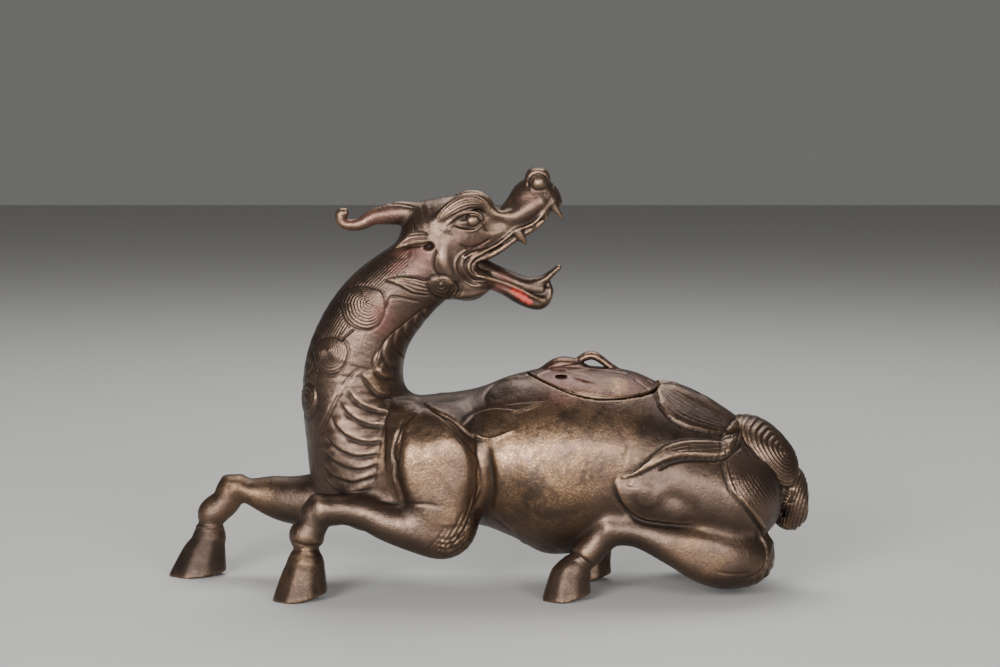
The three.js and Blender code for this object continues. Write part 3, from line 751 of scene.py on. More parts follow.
def chase_mane(sheet):
    """Combed mane that ends in coiled knobs."""
    sheet.comb(MANE_BACK[::-1], MANE_WIDTHS, HAIR_PITCH, depth=0.17)
    for outline, eye, rings in MANE_KNOBS:
        sheet.whorl(outline, eye, rings, height=0.26, dome=0.8, turn=-1, strands=3)
    sheet.groove(KNOB_TOP, width=1.2, depth=0.4)
    for gap in KNOB_GAPS:
        sheet.groove(gap, width=1.3, depth=0.5)


SHOULDER_OUTLINE = [
    (400, 450), (402, 436), (407, 423), (415.5, 415), (427.6, 412), (440, 417), (452, 429), (462, 441),
    (474, 455), (479, 468), (481, 485), (478, 496), (472, 508), (467, 521), (461, 534), (452, 545),
]
SHOULDER_FRONT = [(391, 474), (394, 450), (399, 430), (409, 413), (424, 406)]
SHOULDER_FRONT_INNER = [(396, 474), (399, 452), (404, 432), (413, 418), (427, 412)]
SHOULDER_BACK = [(443, 423), (452, 432), (459, 442)]
ELBOW_TUFT = [(482, 476), (476, 494), (471, 512), (463, 530), (453, 545), (440, 557)]
TUFT_STRANDS = 5
TUFT_STEP = (4.2, 1.0)
ELBOW_CURL = [(436, 538), (448, 540), (460, 534), (468, 525)]
CURL_STRANDS = 4
CURL_STEP = 5
ARM_TOP = [(375, 500), (402, 504), (426, 504.5), (441, 508)]
ARM_CREASE = [(483, 434), (487, 452), (490.5, 472), (491, 492), (488, 512), (484, 528)]
BELLY_HOLLOW = [(512, 446), (514, 475), (518, 505)]
BELLY_EDGE = [(564, 552), (546, 545), (524, 543.5), (510, 528), (496, 516)]
# Flames that fly back from the shoulder
FLAME_BELOW = [(414.6, 398), (431, 409), (453, 421), (465, 432), (476, 438.5), (492, 439.5)]
FLAME_TOP = [(462, 426), (470, 416), (483, 410), (496, 408), (507, 409), (520, 411)]
FLAME_HEART = [(472, 433), (481, 438), (491, 439), (503, 435), (514, 430)]
FLAME_TIP = [(505, 404), (520.5, 402), (546, 400)]
FLAME_TIP_LOWER = [(512, 412), (524, 410), (541, 404)]
UPPER_FLAME = [(486, 405), (486.5, 395), (492, 388), (500, 384), (512, 381), (527, 378)]
UPPER_FLAME_TIP = [(505, 382), (520, 378), (535, 372.5), (550, 366)]
UPPER_FLAME_INNER = [(486, 399), (489.5, 389), (496, 383.5), (520.5, 377), (536, 376)]
UPPER_FLAME_RIDGE = [(500, 380), (512, 377), (520.5, 375.6)]


def chase_shoulder(sheet):
    """Shoulder, its elbow tuft, and the flames that fly back from it."""
    sheet.edge(SHOULDER_OUTLINE, rise=0.55, inner=12, outer=3, ends=0.12)
    sheet.groove(SHOULDER_FRONT, width=1.4, depth=0.35)
    sheet.groove(SHOULDER_FRONT_INNER, width=1.2, depth=0.4)
    sheet.groove(SHOULDER_BACK, width=1.0, depth=0.25)
    for k in range(TUFT_STRANDS):
        strand = [(x - TUFT_STEP[0] * k, y - TUFT_STEP[1] * k) for x, y in ELBOW_TUFT]
        sheet.groove(strand[min(k, 3):], width=1.2, depth=0.45)
    for k in range(CURL_STRANDS):
        sheet.groove([(x, y + CURL_STEP * k) for x, y in ELBOW_CURL], width=1.2, depth=0.4)
    sheet.groove(ARM_TOP, width=2.0, depth=0.5)
    sheet.groove(ARM_CREASE, width=5.5, depth=2.2, ends=0.45)
    sheet.groove(BELLY_HOLLOW, width=9, depth=0.4)
    sheet.edge(BELLY_EDGE, rise=0.5, inner=10, outer=3)
    sheet.edge(FLAME_BELOW[::-1], rise=0.5, inner=10, outer=2.5, ends=0.2)
    sheet.groove(FLAME_BELOW, width=0.9, depth=0.35, ends=0.1)
    sheet.edge(FLAME_TOP, rise=0.5, inner=6, outer=3, ends=0.1)
    sheet.groove(FLAME_TOP[:-1], width=0.9, depth=0.35)
    sheet.groove(FLAME_HEART, width=1.4, depth=-0.55)
    sheet.groove(FLAME_TIP, width=1.1, depth=0.35)
    sheet.groove(FLAME_TIP_LOWER, width=1.1, depth=-0.4)
    sheet.edge(UPPER_FLAME, rise=0.9, inner=9, outer=3, ends=0.3)
    sheet.groove(UPPER_FLAME_TIP, width=0.9, depth=0.3)
    sheet.groove(UPPER_FLAME_INNER, width=1.0, depth=0.3, ends=0.2)
    sheet.groove(UPPER_FLAME_RIDGE, width=1.0, depth=-0.3)


FAR_SHOULDER_OUTLINE = [
    (373, 455), (376, 436), (383, 424), (396, 416), (411, 418), (425, 430), (437, 446), (446, 462),
    (449, 480), (443, 500), (434, 520),
]
FAR_FLAME_BELOW = [(500, 438), (480, 437), (462, 428), (446, 414), (430, 404)]
FAR_FLAME = [(462, 424), (478, 415), (500, 408), (524, 404), (546, 400)]


def chase_far_shoulder(sheet):
    """The other shoulder, which stands further forward, with a plainer flame."""
    sheet.edge(FAR_SHOULDER_OUTLINE, rise=0.7, inner=12, outer=3, ends=0.15)
    sheet.edge(FAR_FLAME_BELOW, rise=0.9, inner=12, outer=3, ends=0.1)
    sheet.lock(FAR_FLAME, [3, 7, 6, 4, 0.5], height=0.6, hairs=2, depth=0.25)


HAUNCH_FURROW = [
    (700, 525), (680, 524), (660, 522), (643, 519), (628, 509), (618.5, 495), (616, 483), (622, 473),
]
FLANK_FOLD = [(630, 437), (628, 450), (622, 465)]
KNEE_SWELL = [(640, 489), (654, 495)]
KNEE_HOLLOW = [(664, 488), (674, 498), (690, 508), (706, 512)]
# Locks of long hair: path and half widths down it
RUMP_LOCK = (
    [(741, 429), (728, 426), (712, 420), (694, 412), (677, 402), (664, 393), (656, 385)],
    [3, 10, 14, 17, 18, 14, 0.5],
)
FLANK_LOCK = (
    [(741, 441), (724, 449), (703, 449), (685, 449), (668, 453), (651, 463), (637, 472), (622.5, 478)],
    [4, 8, 9, 8.5, 7.5, 5.5, 3, 0.4],
)
HIND_LOCK = ([(727, 436), (737, 456), (748, 479), (762, 500), (776, 526)], [6, 12, 16, 17, 15])
ROOT_LOCK = ([(742, 416), (735, 428), (728.5, 441), (723, 457)], [2, 6, 7, 3])
UNDER_FLANK_LOCK = [(722, 461), (703, 460), (685, 460), (670, 463), (656, 471)]
HIND_LOCK_FRONT = [(763, 531), (751, 513), (740, 501), (731.4, 490), (726, 474), (722, 458)]
HOCK_BACK = [(755, 532), (764, 545), (766, 560), (759, 573), (742, 580)]
HOCK_UNDER = [(716, 572), (731, 574), (751, 573)]
# A strand of the hock's fringe, and how each of its points moves to the next strand
HOCK_STRAND = [((757, 585), (3, -2.2)), ((764, 579), (2, -3)), ((769, 569), (1, -5))]
HOCK_STRANDS = 6


def chase_haunch(sheet):
    """Haunch, with the locks of long hair that spring from the root of the tail."""
    sheet.edge(HAUNCH_FURROW, rise=1.5, inner=18, outer=4.5, ends=0.25)
    sheet.groove(FLANK_FOLD, width=4.0, depth=0.4, ends=0.4)
    sheet.groove(KNEE_SWELL, width=11.0, depth=-2.2, ends=0.0)
    sheet.groove(KNEE_HOLLOW, width=10.0, depth=0.9, ends=0.4)
    sheet.lock(*RUMP_LOCK, height=1.5, hairs=10, depth=0.26)
    sheet.lock(*FLANK_LOCK, height=1.5, hairs=5, depth=0.26)
    sheet.groove(UNDER_FLANK_LOCK, width=2.0, depth=0.9)
    sheet.lock(*HIND_LOCK, height=0.9, hairs=10, depth=0.28)
    sheet.lock(*ROOT_LOCK, height=0.9, hairs=4, depth=0.3)
    sheet.edge(HIND_LOCK_FRONT, rise=0.8, inner=4, outer=3, ends=0.1)
    sheet.groove(HOCK_BACK, width=1.6, depth=0.5)
    sheet.groove(HOCK_UNDER, width=1.2, depth=0.35)
    for k in range(HOCK_STRANDS):
        strand = [(x + step[0] * k, y + step[1] * k) for (x, y), step in HOCK_STRAND]
        sheet.groove(strand, width=1.0, depth=0.45)


HIND_HOOF_RING = [(570, 549), (580, 557), (592, 565)]
FORE_HOOF_RING = [(293, 541), (306, 546), (322, 545)]
FETLOCK_RING = [(289, 553), (304, 549), (320, 551)]
PASTERN_STRAND = [((604, 551), (6, 1)), ((612, 547), (6, 1)), ((620, 551), (5, 1))]
PASTERN_STRANDS = 5


def chase_feet(sheet):
    """Rings above the near hooves and the fringe of hair on the pastern."""
    sheet.groove(HIND_HOOF_RING, width=1.8, depth=0.6)
    sheet.groove(FORE_HOOF_RING, width=1.8, depth=0.5)
    sheet.groove(FETLOCK_RING, width=1.5, depth=0.4)
    for k in range(PASTERN_STRANDS):
        strand = [(x + step[0] * k, y + step[1] * k) for (x, y), step in PASTERN_STRAND]
        sheet.groove(strand, width=1.1, depth=0.4)


FAR_SIDE = np.array([1.0, -1.0, 1.0])
MIDDLE_ROOM = 6


def chased(points, normals, near_marks, far_marks):
    """Height of the chasing at each point, from both sides of the figure."""
    height = np.zeros(len(points))
    hidden = within_trunk(points, WALL * 0.6)
    for marks, turn in ((near_marks, 1.0), (far_marks, FAR_SIDE)):
        seen = points * turn
        facing = (normals * turn) @ BACKWARD
        sheet = Sheet(seen, (facing > 0.0) & (seen[:, 1] < MIDDLE_ROOM) & ~hidden)
        for mark in marks:
            mark(sheet)
        height += sheet.height * smoothly(facing, 0.0, 0.16)
    return height


def mesh_of(name, points, faces):
    """Smooth-shaded mesh, in the frame, of points and faces of the drawn figure."""
    mesh = bpy.data.meshes.new(name)
    corners = faces.shape[1]
    mesh.vertices.add(len(points))
    mesh.vertices.foreach_set("co", in_frame(points).astype(np.float32).ravel())
    mesh.loops.add(faces.size)
    mesh.loops.foreach_set("vertex_index", faces.astype(np.int32).ravel())
    mesh.polygons.add(len(faces))
    mesh.polygons.foreach_set("loop_start", np.arange(0, faces.size, corners, dtype=np.int32))
    mesh.polygons.foreach_set("use_smooth", np.ones(len(faces), bool))
    mesh.update(calc_edges=True)
    return mesh


def parted(mesh, planes):
    """Parts the metal at planes, keeps what lies behind each and closes it flat there."""
    shape = bmesh.new()
    shape.from_mesh(mesh)
    for through, normal in planes:
        whole = shape.verts[:] + shape.edges[:] + shape.faces[:]
        cut = bmesh.ops.bisect_plane(
            shape, geom=whole, plane_co=in_frame(through), plane_no=normal, clear_outer=True
        )
        rim = [edge for edge in cut["geom_cut"] if isinstance(edge, bmesh.types.BMEdge)]
        for edge in rim:
            edge.smooth = False
        for cap in bmesh.ops.edgeloop_fill(shape, edges=rim)["faces"]:
            cap.smooth = False
    bmesh.ops.triangulate(shape, faces=[face for face in shape.faces if len(face.verts) > 4])
    shape.to_mesh(mesh)
    shape.free()


def thinned(piece, triangles):
    """Trims a piece's mesh to so many triangles, where its surface is flattest."""
    count = sum(len(face.vertices) - 2 for face in piece.data.polygons)
    if count <= triangles:
        return
    trim = piece.modifiers.new("trim", "DECIMATE")
    trim.ratio = triangles / count
    evaluated = piece.evaluated_get(bpy.context.evaluated_depsgraph_get())
    mesh = bpy.data.meshes.new_from_object(evaluated)
    piece.modifiers.clear()
    piece.data = mesh


# Bronze: a dark brown patina over yellow metal. Hands and cloth have worn it bright on whatever
# stands out, dark wax has stayed in what lies deep, and red lacquer clings in places. Painted
# shade darkens the recesses, the gap round the lid, the undersides and the hooves, and the
# patches of gilding also stand in for highlights, as painted highlight.
# Each place of a patch is its centre on the sheet and its radius in pixels, then its strength.
RED_PLACES = [
    ((500, 285), 12, 0.9), ((381, 318), 17, 0.6), ((412, 262), 22, 0.55), ((366, 214), 30, 0.6),
    ((522, 206), 16, 0.35), ((470, 245), 16, 0.35), ((560, 386), 24, 0.4), ((640, 388), 18, 0.4),
]
SCARLET_PLACES = [
    ((514, 290.5), 5, 0.8), ((519, 294), 6, 1.0), ((524, 298), 6, 1.0), ((529, 302), 4.5, 1.0),
]
# Patches of gilding, set where the bright highlights fall: partly gilding, partly painted highlight
GILT_AND_SHEEN_PLACES = [
    ((535, 470), 62, 1.0), ((420, 455), 40, 0.7), ((590, 440), 50, 0.7), ((470, 520), 40, 0.6),
    ((235, 500), 34, 0.7), ((290, 560), 30, 0.5), ((700, 555), 30, 0.5), ((500, 215), 18, 0.3),
    ((619, 385), 9, 1.0), ((380, 385), 16, 0.5),
]
DULL_PLACES = [((700, 560), 50, 0.6), ((345, 440), 50, 0.3), ((250, 520), 60, 0.6)]
# Painted shade: the hooves and feet are painted darker, and so is every surface in as far as it faces
# down
FOOT_SHADE_PLACES = [((300, 580), 26, 0.45), ((200, 556), 30, 0.6), ((567, 580), 24, 0.45)]
UNDERSIDE_SHADE = 0.5
BULGE = (0.04, 0.26)
# Distances over which a point is set against its surroundings, each with its share
SURROUNDINGS = ((0.8, 0.5), (1.6, 0.33), (3.2, 0.17))


def patches(points, places, soften=0.5):
    """How much of a patch of colour lies at each point, from its places on the sheet."""
    spot = on_sheet(points)
    share = np.zeros(len(points))
    for centre, radius, strength in places:
        gap = np.linalg.norm(spot - np.array(centre, float), axis=1) / radius
        share = np.maximum(share, strength * (1 - smoothly(gap, soften, 1.0 + soften)))
    return share


def painted_rim_shade(points):
    """Painted shade in the gap round the lid, at each point on either side of it."""
    x, y, z = points.T
    sunk = above_trunk(x, y, 0.0) - z
    away = np.abs(leaf(0.0)(x, y))
    return smoothly(sunk, 0.1, 0.8) * (1 - smoothly(sunk, 8, 10)) * (1 - smoothly(away, 1.0, 2.0))


def weathered_and_shaded(mesh, points, faces):
    """Records on each point how far it stands out, how deep it lies, its painted shade, and its patches
    of colour, some of them painted highlight.
    """
    links = np.concatenate([faces[:, [k, (k + 1) % 4]] for k in range(4)])
    normals = normals_of(points, faces)
    pitch = np.linalg.norm(points[links[:, 0]] - points[links[:, 1]], axis=1).mean()
    bulge = np.zeros(len(points))
    soft = points
    done = 0
    for reach, share in SURROUNDINGS:
        rounds = round((reach / pitch) ** 2 * 1.2) + 1
        for _ in range(rounds - done):
            soft = averaged(soft, links)
        done = rounds
        bulge += share * ((points - soft) * normals).sum(axis=1) / reach
    bulge = 0.5 * bulge + 0.5 * averaged(bulge, links)
    # Painted shade in the gap round the lid
    rim_shade = painted_rim_shade(points)
    # Painted shade on surfaces that face down, and on the hooves and feet
    below = UNDERSIDE_SHADE * smoothly(-normals[:, 2], 0.0, 0.6)
    low_shade = np.maximum(below, patches(points, FOOT_SHADE_PLACES))
    records = {
        "worn": smoothly(bulge, *BULGE) * (1 - rim_shade),
        # deep: dark wax in the recesses together with painted shade there, in the lid's gap, under the
        # figure and on the hooves
        "deep": np.maximum(np.maximum(smoothly(-bulge, *BULGE), rim_shade), low_shade),
        "red": patches(points, RED_PLACES),
        "scarlet": patches(points, SCARLET_PLACES, 0.1),
        "gilt_sheen": patches(points, GILT_AND_SHEEN_PLACES),
        "dull": patches(points, DULL_PLACES),
    }
    for name, values in records.items():
        record = mesh.attributes.new(name, "FLOAT", "POINT")
        record.data.foreach_set("value", values.astype(np.float32))


MASKS = ("Worn", "Deep", "Red", "Scarlet", "Gilt_Sheen", "Dull")
COLOURS = {
    # Colour of the gilding, also used for painted highlight
    "Gold_Sheen": (0.24, 0.135, 0.066),
    "Metal": (0.42, 0.27, 0.165),
    # Dark wax colour, also the colour of the painted shade
    "Wax_Shade": (0.014, 0.0095, 0.007),
    "Lacquer": (0.12, 0.03, 0.02),
    "Vermilion": (0.42, 0.016, 0.007),
}


def patina_group():
    """Node group: brown patina, worn metal, gilding that is partly painted highlight, old wax with
    painted shade, and red lacquer, from the recorded masks.
    """
    group = bpy.data.node_groups.new("patina", "ShaderNodeTree")
    interface = group.interface
    for name in MASKS:
        interface.new_socket(name, in_out="INPUT", socket_type="NodeSocketFloat")
    for name in ("Brown", "Umber", *COLOURS):
        interface.new_socket(name, in_out="INPUT", socket_type="NodeSocketColor")
    interface.new_socket("Color", in_out="OUTPUT", socket_type="NodeSocketColor")
    for name in ("Roughness", "Metallic", "Height"):
        interface.new_socket(name, in_out="OUTPUT", socket_type="NodeSocketFloat")
    nodes = group.nodes
    links = group.links
    given = nodes.new("NodeGroupInput").outputs
    put = nodes.new("NodeGroupOutput").inputs
    place = nodes.new("ShaderNodeTexCoord").outputs["Object"]

    def noise(scale, detail, roughness=0.6, distortion=0.0):
        node = nodes.new("ShaderNodeTexNoise")
        links.new(place, node.inputs["Vector"])
        node.inputs["Scale"].default_value = scale
        node.inputs["Detail"].default_value = detail
        node.inputs["Roughness"].default_value = roughness
        node.inputs["Distortion"].default_value = distortion
        return node.outputs["Fac"]

    def ranged(value, low, high, to_low=0.0, to_high=1.0):
        node = nodes.new("ShaderNodeMapRange")
        node.interpolation_type = "SMOOTHSTEP"
        links.new(value, node.inputs["Value"])
        node.inputs["From Min"].default_value = low
        node.inputs["From Max"].default_value = high
        node.inputs["To Min"].default_value = to_low
        node.inputs["To Max"].default_value = to_high
        return node.outputs["Result"]

    def maths(operation, a, b):
        node = nodes.new("ShaderNodeMath")
        node.operation = operation
        for socket, value in zip(node.inputs, (a, b)):
            if isinstance(value, (int, float)):
                socket.default_value = value
            else:
                links.new(value, socket)
        return node.outputs[0]

    def mixed(share, a, b):
        node = nodes.new("ShaderNodeMix")
        node.data_type = "RGBA"
        links.new(share, node.inputs[0])
        links.new(a, node.inputs[6])
        links.new(b, node.inputs[7])
        return node.outputs[2]

    broad = noise(scale=38, detail=5)
    fine = noise(scale=260, detail=8, roughness=0.7)
    grit = noise(scale=1500, detail=4, roughness=0.7)
    speck = noise(scale=1500, detail=6, roughness=0.8, distortion=0.2)
    blotch = noise(scale=95, detail=6, roughness=0.65, distortion=0.6)

    colour = mixed(ranged(broad, 0.36, 0.62), given["Umber"], given["Brown"])
    colour = mixed(ranged(fine, 0.4, 0.7, 0.0, 0.6), colour, given["Umber"])
    rubbed = maths("MULTIPLY", given["Worn"], ranged(fine, 0.3, 0.65, 0.1, 0.45))
    # Gilding with bright flecks, partly painted highlight where the light falls on belly, shoulder and
    # flank
    sheen_dusting = maths("MULTIPLY", given["Gilt_Sheen"], ranged(blotch, 0.36, 0.62, 0.06, 1.0))
    sheen_specks = maths("MULTIPLY", sheen_dusting, ranged(speck, 0.49, 0.62))
    colour = mixed(maths("MULTIPLY", sheen_dusting, 0.6), colour, given["Gold_Sheen"])
    bare = maths("MAXIMUM", rubbed, sheen_specks)
    bare = maths("MULTIPLY", bare, maths("SUBTRACT", 1.0, maths("MULTIPLY", given["Dull"], 0.6)))
    colour = mixed(bare, colour, given["Metal"])
    lacquer = maths("MULTIPLY", given["Red"], ranged(blotch, 0.42, 0.56))
    kept = maths("SUBTRACT", 1.0, maths("MULTIPLY", given["Worn"], 0.7))
    lacquer = maths("MULTIPLY", lacquer, kept)
    colour = mixed(lacquer, colour, given["Lacquer"])
    scarlet = maths("MULTIPLY", given["Scarlet"], ranged(blotch, 0.22, 0.38))
    # Dark wax and painted shade: recesses, the lid's gap, undersides and hooves are painted darker
    wax_and_shade = maths("MULTIPLY", given["Deep"], ranged(broad, 0.2, 0.6, 0.6, 0.9))
    colour = mixed(wax_and_shade, colour, given["Wax_Shade"])
    colour = mixed(scarlet, colour, given["Vermilion"])
    links.new(colour, put["Color"])

    coating = maths("MAXIMUM", lacquer, maths("MAXIMUM", scarlet, maths("MULTIPLY", wax_and_shade, 0.4)))
    gloss = ranged(fine, 0.3, 0.7, 0.23, 0.36)
    gloss = maths("SUBTRACT", gloss, maths("MULTIPLY", bare, 0.07))
    gloss = maths("ADD", gloss, maths("MULTIPLY", wax_and_shade, 0.3))
    gloss = maths("ADD", gloss, maths("MULTIPLY", given["Dull"], 0.14))
    links.new(maths("ADD", gloss, maths("MULTIPLY", grit, 0.06)), put["Roughness"])
    links.new(ranged(coating, 0.0, 1.0, 0.9, 0.0), put["Metallic"])
    pitted = maths("MULTIPLY", ranged(fine, 0.3, 0.75), 0.6)
    links.new(maths("ADD", pitted, maths("MULTIPLY", grit, 0.35)), put["Height"])
    return group


PITTING = 0.6
PIT_DEPTH = 0.0003


def bronze(name, brown, umber):
    """Material of one casting, over the shared patina."""
    material = bpy.data.materials.new(name)
    material.use_nodes = True
    nodes = material.node_tree.nodes
    links = material.node_tree.links
    shader = nodes["Principled BSDF"]
    patina = nodes.new("ShaderNodeGroup")
    patina.node_tree = bpy.data.node_groups.get("patina") or patina_group()
    for mask in MASKS:
        record = nodes.new("ShaderNodeAttribute")
        record.attribute_name = mask.lower()
        links.new(record.outputs["Fac"], patina.inputs[mask])
    for colour, value in {"Brown": brown, "Umber": umber, **COLOURS}.items():
        patina.inputs[colour].default_value = (*value, 1)
    links.new(patina.outputs["Color"], shader.inputs["Base Color"])
    links.new(patina.outputs["Roughness"], shader.inputs["Roughness"])
    links.new(patina.outputs["Metallic"], shader.inputs["Metallic"])
    relief = nodes.new("ShaderNodeBump")
    relief.inputs["Strength"].default_value = PITTING
    relief.inputs["Distance"].default_value = PIT_DEPTH
    links.new(patina.outputs["Height"], relief.inputs["Height"])
    links.new(relief.outputs["Normal"], shader.inputs["Normal"])
    return material


FIGURE_BROWN = (0.128, 0.083, 0.061)
FIGURE_UMBER = (0.070, 0.047, 0.036)
figure_bronze = bronze("bronze", FIGURE_BROWN, FIGURE_UMBER)


def cast(name, clay, near_marks, far_marks, triangles, material, planes=()):
    """One piece of a casting: the skin of its clay, chased on both sides, parted and finished."""
    points, faces = clay.skin()
    normals = normals_of(points, faces)
    height = chased(points, normals, near_marks, far_marks)
    points = held(points + normals * height[:, None])
    mesh = mesh_of(name, points, faces)
    weathered_and_shaded(mesh, points, faces)
    if planes:
        parted(mesh, planes)
    piece = bpy.data.objects.new(name, mesh)
    bpy.context.scene.collection.objects.link(piece)
    thinned(piece, triangles)
    piece.data.materials.clear()
    piece.data.materials.append(material)
    return piece


# Planes at which the neck is parted from the body and the head from the neck: only the meshes
# end there, and the metal runs through. Each is a point of it and the way it looks.
NECK_FOOT = (np.array([-47.0, 0.0, 84.0]), np.array([-0.4, 0.0, 0.9165]))
HEAD_FOOT = (np.array([-27.0, -8.0, 119.0]), np.array([0.3, 0.0, 0.9539]))


def other_way(plane):
    """The same plane looking back."""
    return plane[0], -plane[1]


near_body = [chase_chest, chase_mane, chase_shoulder, chase_haunch, chase_feet]
far_body = [chase_mane, chase_far_shoulder, chase_haunch]
body = cast("body", body_clay, near_body, far_body, BODY_TRIANGLES, figure_bronze, [NECK_FOOT])
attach(body, "root")
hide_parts("qilin")


# Neck: bronze, in one casting with the body, arched back over it. A mane of combed hair ends in
# three coiled knobs down its back edge, and ribbed plates run down the throat.
NECK_CELL = 0.34
NECK_TRIANGLES = 190000
NECK_BLOCK = ((-80, -38, 66), (2, 26, 138))
BROW_HAIR = [(434, 226), (442, 217.5), (452, 209.5), (464, 203.5), (477, 202.5), (488, 208)]
MOUTH_FOLDS = [
    [(480, 250), (469, 255), (463, 261), (462.6, 269), (466.6, 276), (474, 281), (487, 282)],
    [(484, 253), (475, 257), (469.5, 263), (469.5, 269.5), (475, 275), (488, 278)],
    [(487, 258), (479, 260), (475, 265), (479, 270), (492, 274)],
    [(474, 247), (463, 252), (456, 260), (456, 270), (461, 278), (471, 285), (482, 286)],
]
FOLD_GAP = (3.0, 1.2)
CHEEK_LINE = [(436, 249), (433, 260), (434, 269.5), (440, 278)]
UNDER_EYE = [(458, 244), (468, 248), (480, 245), (492, 238)]
CHEEK_LOCK = ([(442, 293), (432, 289), (417, 286), (402, 281.5), (386, 279.5)], [2, 7, 8, 4.5, 0.4])
BEARD_CURL = [
    (428, 285), (432, 294), (443, 299.5), (455, 296), (458, 287), (451, 279), (440, 276.5), (431, 278.5),
]
BEARD_CURL_EYE = (441, 283)
BEARD_LINE = [(455, 281), (459, 289), (454, 298)]
BEARD_STEP = 4
EAR_LINE = [(402, 249), (412, 246.5), (422, 245), (431, 243)]
EAR_TOP_LINE = [(401, 245.5), (411, 240), (421, 238.5), (430, 238)]
NOSTRIL_LINE = [(529.5, 191), (527.5, 182), (532, 174.5), (540, 173), (547.5, 178), (549, 187)]
HORN_LINE = [(388, 204), (400, 204), (415, 207)]


def chase_head(sheet):
    """Striated brow, folds at the corner of the mouth, cheek lock and beard."""
    sheet.lock(BROW_HAIR, [1, 6, 9, 10, 8, 3], height=0.05, hairs=6, depth=0.3)
    for fold in MOUTH_FOLDS:
        sheet.groove(fold, width=1.4, depth=-0.42, ends=0.08)
    for fold in MOUTH_FOLDS[:2]:
        sheet.groove([(x + FOLD_GAP[0], y + FOLD_GAP[1]) for x, y in fold[1:-1]], width=1.0, depth=0.35)
    sheet.groove(CHEEK_LINE, width=1.5, depth=0.5)
    sheet.groove(UNDER_EYE, width=1.4, depth=0.4)
    sheet.lock(*CHEEK_LOCK, height=0.8, hairs=4, depth=0.3)
    sheet.whorl(BEARD_CURL, BEARD_CURL_EYE, 5, height=0.35, dome=0.8, turn=1, strands=2)
    for k in range(2):
        sheet.groove([(x + BEARD_STEP * k, y) for x, y in BEARD_LINE], width=1.0, depth=0.4)
    sheet.groove(EAR_LINE, width=1.3, depth=0.6)
    sheet.groove(EAR_TOP_LINE, width=1.2, depth=0.4)
    sheet.groove(NOSTRIL_LINE, width=1.4, depth=0.5)
    sheet.groove(HORN_LINE, width=1.4, depth=0.3)


neck_clay = Clay(*NECK_BLOCK, NECK_CELL)
for form, blend in BODY_FORMS[:4]:
    neck_clay.add(form, blend)
near_neck = [chase_chest, chase_mane, chase_head]
neck_ends = [HEAD_FOOT, other_way(NECK_FOOT)]
neck = cast("neck", neck_clay, near_neck, [chase_mane], NECK_TRIANGLES, figure_bronze, neck_ends)
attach(neck, "root")
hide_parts("qilin")


# Head: bronze, in one casting with the neck, with a horn that curls at its tip, ears laid back,
# heavy brows and the mouth agape. Its fangs and tongue are cast with it.
HEAD_CELL = 0.36
HEAD_TRIANGLES = 195000
HEAD_BLOCK = ((-57, -32, 96), (38, 16, 167))
SKULL = [
    (-22.6, HEAD_Y, 136, 10, 8.0), (-15, HEAD_Y, 139, 12.6, 13), (-3, HEAD_Y, 140.5, 12.4, 13.4),
    (4.6, HEAD_Y, 141, 10.3, 10.6), (11.4, HEAD_Y, 141.4, 8.8, 7.2), (17.9, HEAD_Y, 146.8, 8.2, 7.6),
    (23, HEAD_Y, 152, 8.2, 8.8), (27.4, HEAD_Y, 152.6, 7.2, 6.8), (31.9, HEAD_Y, 150.2, 4.2, 2.8),
]
JAW = [
    (-14, HEAD_Y, 124, 9, 7), (-7.3, HEAD_Y, 120.5, 10, 6.6), (-0.8, HEAD_Y, 119.2, 9.5, 6),
    (5.6, HEAD_Y, 120.8, 8.5, 3.6), (11.5, HEAD_Y, 118.2, 7.6, 2.8), (17.3, HEAD_Y, 115, 6.8, 3),
    (22.3, HEAD_Y, 112.8, 6, 2.9), (26, HEAD_Y, 113, 4.8, 2.9), (28.2, HEAD_Y, 117.4, 3.2, 1.9),
]
TONGUE = [
    (-3, HEAD_Y, 124, 5, 4), (5, HEAD_Y, 124.2, 5, 3.4), (12.3, HEAD_Y, 121.6, 4.6, 3.4),
    (19.6, HEAD_Y, 119.4, 4.2, 3), (26.4, HEAD_Y, 121.1, 3.6, 1.9), (30.2, HEAD_Y, 124, 2.8, 1.35),
    (32.9, HEAD_Y, 126.2, 2.0, 1.1),
]
# Parts of the face as seen: pixels across and down, how far out from the middle of the head,
# then half width across and half depth in the sheet's plane, in millimetres
HORN = [
    (428, 213, 0, 6.5, 4.2), (414, 212, 0, 5.2, 4.0), (400, 213, 0, 4.6, 4.6), (388, 214.3, 0, 3.8, 4.1),
    (374, 217, 0, 3.0, 3.2), (361, 223.5, 0, 2.6, 2.6), (350, 225, 0, 2.4, 2.3), (342, 222, 0, 2.2, 2.1),
    (341, 214.5, 0, 2.3, 2.3), (346, 212.5, 0, 2.0, 1.8),
]
BROW = [
    (433, 224, 10.0, 1.4, 1.6), (442, 217, 10.6, 2.4, 2.7), (452, 209.5, 10.9, 2.8, 3.4),
    (464, 203, 10.7, 2.8, 3.6), (476, 201, 9.8, 2.6, 3.2), (485, 204.5, 8.6, 2.2, 2.6),
    (491, 211, 7.2, 1.4, 1.6),
]
MOUTH_CORNER = [
    (483, 253.5, 7.6, 2.0, 1.6), (474, 257, 8.8, 2.4, 2.0), (469, 265, 9.4, 2.6, 2.4),
    (473, 273, 8.8, 2.4, 2.0), (485, 277.5, 7.6, 2.0, 1.6),
]
BEARD_FLAP = [
    (456, 293.5, 6, 2.8, 2.2), (466, 294, 6.6, 2.4, 1.8), (477, 292.5, 6.6, 2.0, 1.3),
    (487, 290.5, 6, 1.0, 0.6),
]
UPPER_EYELID = [
    (441, 231, 11.6, 0.8, 0.6), (449, 222, 12.0, 0.8, 0.7), (460, 214.5, 12.0, 0.8, 0.7),
    (470, 212, 11.7, 0.8, 0.7), (479, 214, 11.0, 0.8, 0.7), (482.5, 219.5, 10.6, 0.7, 0.6),
]
